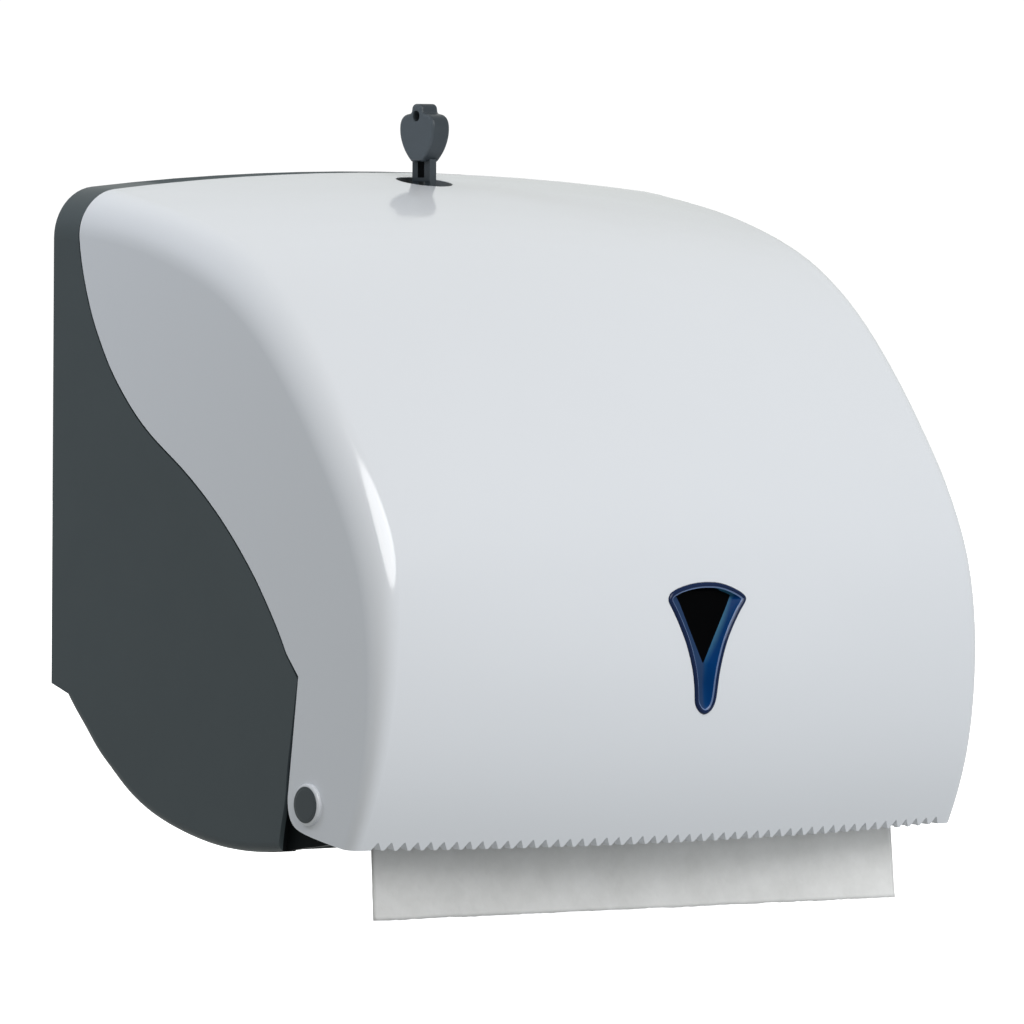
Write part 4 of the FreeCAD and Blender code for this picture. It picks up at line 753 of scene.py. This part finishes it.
def on_hood(x, z, h):
    """Points of the skin seen at (x, z) from the front, raised by h along its normal."""
    x, z, h = np.broadcast_arrays(np.asarray(x, float), np.asarray(z, float), np.asarray(h, float))
    lo = np.full(x.shape, 150.0)
    hi = np.full(x.shape, _t[-1])
    for _ in range(34):
        mid = 0.5 * (lo + hi)
        above = hood_point(mid, x)[:, 2] > z
        lo = np.where(above, mid, lo)
        hi = np.where(above, hi, mid)
    p = hood_point(0.5 * (lo + hi), x)
    return p + hood_normal(p)[0] * h[:, None]


def rows_mesh(name, rows, closed=False, smooth=True):
    """A grid of quads through rows of equal length; closed joins each row's ends."""
    verts = np.concatenate(rows)
    n = len(rows[0])
    faces = []
    for i in range(len(rows) - 1):
        for j in range(n if closed else n - 1):
            a, b = i * n + j, i * n + (j + 1) % n
            faces.append((a, b, b + n, a + n))
    return mesh_object(name, mm(verts), faces, smooth)


def finish_window(o, mat):
    bm = bmesh.new()
    bm.from_mesh(o.data)
    bmesh.ops.remove_doubles(bm, verts=bm.verts, dist=1e-6)
    bm.to_mesh(o.data)
    bm.free()
    o.data.shade_smooth()
    o.data.materials.append(mat)
    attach(o, "cover")
    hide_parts("level_window")
    return o


outline = closed_curve(WINDOW, 420)
# the bead round the opening, turned from the skin over its crest to the pocket's lip
BEAD = [(0.02, -2.6), (0.02, -0.4), (0.03, 0.03), (0.12, 0.20), (0.28, 0.37), (0.50, 0.50),
        (0.75, 0.56), (1.00, 0.54), (1.20, 0.46), (1.34, 0.33)]
LIP = [(1.34, 0.33), (1.42, 0.20), (1.50, 0.10), (1.60, 0.03), (1.70, 0.0)]
rings = [on_hood(*inset(outline, dd).T, hh) for dd, hh in BEAD]
window_rim = finish_window(rows_mesh("window_rim", rings, closed=True), M["blue_rim"])
# the lip, in the painted highlight's light blue
rings = [on_hood(*inset(outline, dd).T, hh) for dd, hh in LIP]
window_lip = finish_window(rows_mesh("window_lip", rings, closed=True), M["blue_line"])

# the pocket behind the bead: sloped walls down to a black fan-shaped floor, painted shade for the dark
# inside seen through the lens
edge_in = inset(outline, 1.70)
i_low, i_top = int(np.argmin(edge_in[:, 1])), int(np.argmax(edge_in[:, 1]))


def side(a, b):
    idx = np.arange(a, b + 1 if b >= a else b + 1 + len(edge_in)) % len(edge_in)
    return edge_in[idx]


left_side = side(i_low, i_top)                 # clockwise from the bottom up the left to the top
right_side = side(i_top, i_low)[::-1]
zs = np.unique(np.concatenate([
    np.linspace(edge_in[i_low, 1], 41.0, 14), np.linspace(41.0, 71.0, 70),
    71.0 + (edge_in[i_top, 1] - 71.0) * np.sin(np.linspace(0, math.pi / 2, 44))]))
APEX = 53.2


def across(pts, z):
    o = np.argsort(pts[:, 1], kind="stable")
    return np.interp(z, pts[o, 1], pts[o, 0])


xl, xr = across(left_side, zs), across(right_side, zs)
mid_x = np.interp(zs, [38, 50, 60, 66, 72, 80], [-0.1, -0.3, -0.55, -0.4, 0.0, 0.0])
half_floor = np.clip(0.505 * (zs - APEX), 0.03, None)
SINK = 2.0
rows, cols_wall, cols_floor = [], 10, 8
for z, a, b, cx, hf in zip(zs, xl, xr, mid_x, half_floor):
    fl = max(a + 0.45 * min(1.0, (b - a) / 4), cx - hf) if b - a > 0.5 else (a + b) / 2
    fr = min(b - 0.45 * min(1.0, (b - a) / 4), cx + hf) if b - a > 0.5 else (a + b) / 2
    top_gap = max(0.0, edge_in[i_top, 1] - z)
    low_gap = max(0.0, z - edge_in[i_low, 1])
    deep = SINK * min(1.0, 2.2 * top_gap / SINK + 0.0) * min(1.0, (low_gap / 7.0) ** 0.6)
    deep = min(deep, 0.85 * (b - a) / 2)
    u = np.linspace(0, 1, cols_wall)
    wl = a + (fl - a) * u
    wr = fr + (b - fr) * u
    prof = -deep * (0.78 * u + 0.22 * np.sin(u * math.pi / 2))
    mid = np.linspace(fl, fr, cols_floor + 2)[1:-1]
    xs = np.concatenate([wl, mid, wr])
    hs = np.concatenate([prof, np.full(cols_floor, -deep), prof[::-1]])
    rows.append(on_hood(xs, np.full(len(xs), z), hs))
n_cols = len(rows[0])
verts = np.concatenate(rows)
wall_faces, floor_faces = [], []
for i in range(len(rows) - 1):
    lit = half_floor[i] > 0.04 and half_floor[i + 1] > 0.04
    for j in range(n_cols - 1):
        f = (i * n_cols + j, i * n_cols + j + 1, (i + 1) * n_cols + j + 1, (i + 1) * n_cols + j)
        dark = lit and cols_wall - 1 <= j < n_cols - cols_wall
        (floor_faces if dark else wall_faces).append(f)


def part_mesh(name, all_verts, faces):
    used = sorted({v for f in faces for v in f})
    new = {v: k for k, v in enumerate(used)}
    return mesh_object(name, mm(all_verts[used]), [tuple(new[v] for v in f) for f in faces])


window_pocket = finish_window(part_mesh("window_pocket", verts, wall_faces), M["blue_deep"])
# the floor, in the painted shade's black
window_floor = finish_window(part_mesh("window_floor", verts, floor_faces), M["black_gloss"])

# the flange that holds the lens behind the cover's wall
rings = [on_hood(*inset(outline, dd).T, hh) for dd, hh in
         [(0.02, -2.55), (-2.0, -2.62), (-2.2, -2.75), (-2.2, -4.0), (-2.05, -4.15), (0.0, -4.2),
          (2.5, -4.2)]]
mid_pts = inset(outline, 2.5)
centre_x = np.interp(mid_pts[:, 1], [38, 80], [0, 0])
for f in (0.5, 0.0):
    rings.append(on_hood(centre_x + (mid_pts[:, 0] - centre_x) * f,
                         np.clip(mid_pts[:, 1], 42, 74), -4.2))
window_flange = finish_window(rows_mesh("window_flange", rings, closed=True), M["blue_rim"])


# ------------------------------------------------------------------ the towel
def towel_strip():
    """The towel from above the rollers through the mouth, as one creased two-ply sheet."""
    line = np.array([(138.45, 91.0), (138.2, 73.0), (138.0, 56.0), (137.7, 38.0), (137.5, 22.0),
                     (137.5, 18.0), (137.75, 14.0), (138.2, 9.5), (138.3, 8.0)])
    rng = np.random.default_rng(7)
    hw, thick = 101.5, 0.36
    nx = 150
    xs = np.linspace(-hw, hw, nx)
    lean = math.radians(4.9)
    # down the web, then down the free strip; v is metres of paper from the top
    top = []
    for (o0, z0), (o1, z1) in zip(line[:-1], line[1:]):
        n = max(1, int(round(abs(z0 - z1) / 2.2)))
        for k in range(n):
            top.append((o0 + (o1 - o0) * k / n, z0 + (z1 - z0) * k / n))
    top = np.array(top)
    n_free = 26
    free = np.linspace(0, 1, n_free)
    cen = np.zeros((len(top) + n_free, nx, 3))
    amp = np.zeros((len(top) + n_free, nx))
    for i, (o, z) in enumerate(top):
        cen[i, :, 0] = xs
        cen[i, :, 1] = -o
        cen[i, :, 2] = z
        amp[i] = 0.12 * np.clip((z - 30) / 20, 0, 1) + 0.03
    length = np.interp(xs, [-hw, hw], [29.8, 30.9])
    for k, f in enumerate(free):
        s = f * length
        i = len(top) + k
        cen[i, :, 0] = xs
        cen[i, :, 1] = -(138.3 + s * math.sin(lean))
        cen[i, :, 2] = 8.0 - s * math.cos(lean)
        amp[i] = 0.03 + 0.42 * np.clip(s / 26.0, 0, 1) ** 1.5
    u, v = np.meshgrid(xs, cen[:, 0, 2])
    wave = np.zeros_like(u)
    for lx, lz, ph, a in [(61, 200, 0.6, 0.55), (37, -90, 2.1, 0.30), (23, 47, 4.0, 0.16),
                          (14.5, -25, 1.3, 0.10), (9.7, 16, 3.3, 0.07), (6.3, -11, 5.1, 0.05)]:
        wave += a * np.sin(2 * math.pi * (u / lx + v / lz) + ph)
    rough = rng.normal(0, 1, (len(cen), nx))
    for _ in range(2):
        rough = (rough + np.roll(rough, 1, 0) + np.roll(rough, -1, 0) + np.roll(rough, 1, 1) +
                 np.roll(rough, -1, 1)) / 5
    wave += 0.10 * rough / max(1e-9, rough.std())
    cen[:, :, 1] -= amp * wave
    # the free strip hangs a little askew, its right end further forward
    down = np.clip((8.0 - cen[:, 0, 2]) / 30.0, 0, 1)[:, None]
    cen[:, :, 1] -= 0.75 * down * xs[None, :] / hw
    # the cut end runs a little uneven
    cen[-1, :, 2] += 0.10 * np.sin(xs / 3.1) * np.sin(xs / 11.3 + 1) + 0.05 * rng.normal(0, 1, nx)
    front = cen.copy()
    back = cen.copy()
    front[:, :, 1] -= thick / 2
    back[:, :, 1] += thick / 2
    nr = len(cen)
    verts = np.concatenate([front.reshape(-1, 3), back.reshape(-1, 3)])
    off = nr * nx
    faces = []
    for i in range(nr - 1):
        for j in range(nx - 1):
            a, b, c, e = i * nx + j, i * nx + j + 1, (i + 1) * nx + j + 1, (i + 1) * nx + j
            faces.append((a, e, c, b))
            faces.append((off + a, off + b, off + c, off + e))
    for i in range(nr - 1):
        a, e = i * nx, (i + 1) * nx
        faces.append((a, off + a, off + e, e))
        a, e = i * nx + nx - 1, (i + 1) * nx + nx - 1
        faces.append((a, e, off + e, off + a))
    for j in range(nx - 1):
        a, b = j, j + 1
        faces.append((a, b, off + b, off + a))
        a, b = (nr - 1) * nx + j, (nr - 1) * nx + j + 1
        faces.append((a, off + a, off + b, b))
    o = mesh_object("towel_strip", mm(verts), faces)
    o.data.materials.append(M["paper"])
    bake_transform(o)
    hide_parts("paper_web", "paper_tail")
    return o


towel_strip()

# ------------------------------------------------------------------ stage, lights, camera
def cyclorama():
    pts = []
    z0 = -0.1455
    for y in (-6.0, 3.0):
        pts.append((y, z0))
    for k in range(1, 17):
        a = math.radians(90 * k / 16)
        pts.append((3.0 + 1.2 * math.sin(a), z0 + 1.2 - 1.2 * math.cos(a)))
    verts, faces = [], []
    for y, z in pts[:2]:
        verts += [(-7, y, z), (7, y, z)]
    for i in range(1):
        faces.append((2 * i, 2 * i + 1, 2 * i + 3, 2 * i + 2))
    o = mesh_object("floor", verts, faces)
    m = bpy.data.materials.new("floor")
    nt, bs = nodes_of(m)
    bs.inputs["Base Color"].default_value = (0.9, 0.9, 0.9, 1)
    bs.inputs["Roughness"].default_value = 0.9
    bs.inputs["Specular IOR Level"].default_value = 0.1
    bs.inputs["Emission Color"].default_value = (1, 1, 1, 1)
    bs.inputs["Emission Strength"].default_value = 1.0
    o.data.materials.append(m)
    o.visible_diffuse = False
    o.visible_glossy = False
    o.visible_transmission = False
    o.visible_shadow = False
    return o


cyclorama()

world = bpy.data.worlds.new("studio")
bpy.context.scene.world = world
world.use_nodes = True
nt = world.node_tree
nt.nodes.clear()
out = nt.nodes.new("ShaderNodeOutputWorld")
bg = nt.nodes.new("ShaderNodeBackground")
bg2 = nt.nodes.new("ShaderNodeBackground")
mixs = nt.nodes.new("ShaderNodeMixShader")
lp = nt.nodes.new("ShaderNodeLightPath")
bg.inputs[0].default_value = (0.97, 1.0, 0.975, 1)
bg.inputs[1].default_value = 0.322
bg2.inputs[0].default_value = (1, 1, 1, 1)
bg2.inputs[1].default_value = 1.05
nt.links.new(lp.outputs["Is Camera Ray"], mixs.inputs[0])
# the studio's far wall shows a little brighter in the gloss
wtc = nt.nodes.new("ShaderNodeTexCoord")
dot = nt.nodes.new("ShaderNodeVectorMath")
dot.operation = "DOT_PRODUCT"
dot.inputs[1].default_value = (0.62, 0.785, 0.0)
nt.links.new(wtc.outputs["Generated"], dot.inputs[0])
far = nt.nodes.new("ShaderNodeMapRange")
far.interpolation_type = "SMOOTHSTEP"
for key, val in (("From Min", 0.15), ("From Max", 0.90), ("To Min", 0.0), ("To Max", 0.34)):
    far.inputs[key].default_value = val
nt.links.new(dot.outputs["Value"], far.inputs["Value"])
glw = nt.nodes.new("ShaderNodeMath")
glw.operation = "MULTIPLY_ADD"
nt.links.new(far.outputs[0], glw.inputs[0])
nt.links.new(lp.outputs["Is Glossy Ray"], glw.inputs[1])
glw.inputs[2].default_value = 0.322
nt.links.new(glw.outputs[0], bg.inputs[1])
nt.links.new(bg.outputs[0], mixs.inputs[1])
nt.links.new(bg2.outputs[0], mixs.inputs[2])
nt.links.new(mixs.outputs[0], out.inputs[0])


def area(name, pos, target, size, power, colour=(1, 1, 1), size_y=None, shape="RECTANGLE"):
    ld = bpy.data.lights.new(name, "AREA")
    ld.energy = power
    ld.color = colour
    ld.size = size
    if size_y:
        ld.shape = shape
        ld.size_y = size_y
    o = bpy.data.objects.new(name, ld)
    bpy.context.scene.collection.objects.link(o)
    o.location = pos
    dvec = Vector(target) - Vector(pos)
    o.rotation_euler = dvec.to_track_quat("-Z", "Y").to_euler()
    return o


# LIGHTS
area("front_light", (-0.34, -1.75, 1.30), (0, -0.15, -0.01), 1.72, 24.1, size_y=1.60, shape="ELLIPSE")
fill = area("top_light", (0.2, 0.65, 1.6), (0, -0.08, 0), 1.6, 7.6, (1.0, 0.985, 0.93))
fill.visible_glossy = False
fill = area("right_fill", (1.25, -1.85, 0.0), (0, -0.1, 0.0), 0.9, 7.4)
fill.visible_glossy = False
fill = area("low_fill", (1.3, -1.6, -0.5), (0, -0.15, -0.08), 1.0, 4.5, (0.80, 0.90, 1.0))
fill.visible_glossy = False
fill = area("left_fill", (-0.45, 0.3, 0.35), (-0.1, -0.05, 0.03), 0.25, 1.0, (0.82, 0.88, 1.0))
fill.visible_glossy = False
# END LIGHTS

# the camera's place and lens were fitted to the outline
az, pitch, roll = math.radians(38.6971), math.radians(2.0457), math.radians(0.4151)
cam_pos = Vector((-1.92057, -2.47521, 0.20569 - 0.115))
d = Vector((math.sin(az) * math.cos(pitch), math.cos(az) * math.cos(pitch), -math.sin(pitch)))
right = Vector((math.cos(az), -math.sin(az), 0))
up = right.cross(d)
R = right * math.cos(roll) + up * math.sin(roll)
U = up * math.cos(roll) - right * math.sin(roll)
cam = bpy.data.cameras.new("camera")
cam.sensor_width = 36.0
cam.lens = 351.5625
cam.clip_start = 0.05
cam.clip_end = 100
co_ = bpy.data.objects.new("camera", cam)
bpy.context.scene.collection.objects.link(co_)
mat = Matrix((
    (R.x, U.x, -d.x, cam_pos.x),
    (R.y, U.y, -d.y, cam_pos.y),
    (R.z, U.z, -d.z, cam_pos.z),
    (0, 0, 0, 1)))
co_.matrix_world = mat
bpy.context.scene.camera = co_
bpy.context.scene.view_settings.view_transform = "Standard"
bpy.context.scene.view_settings.look = "None"
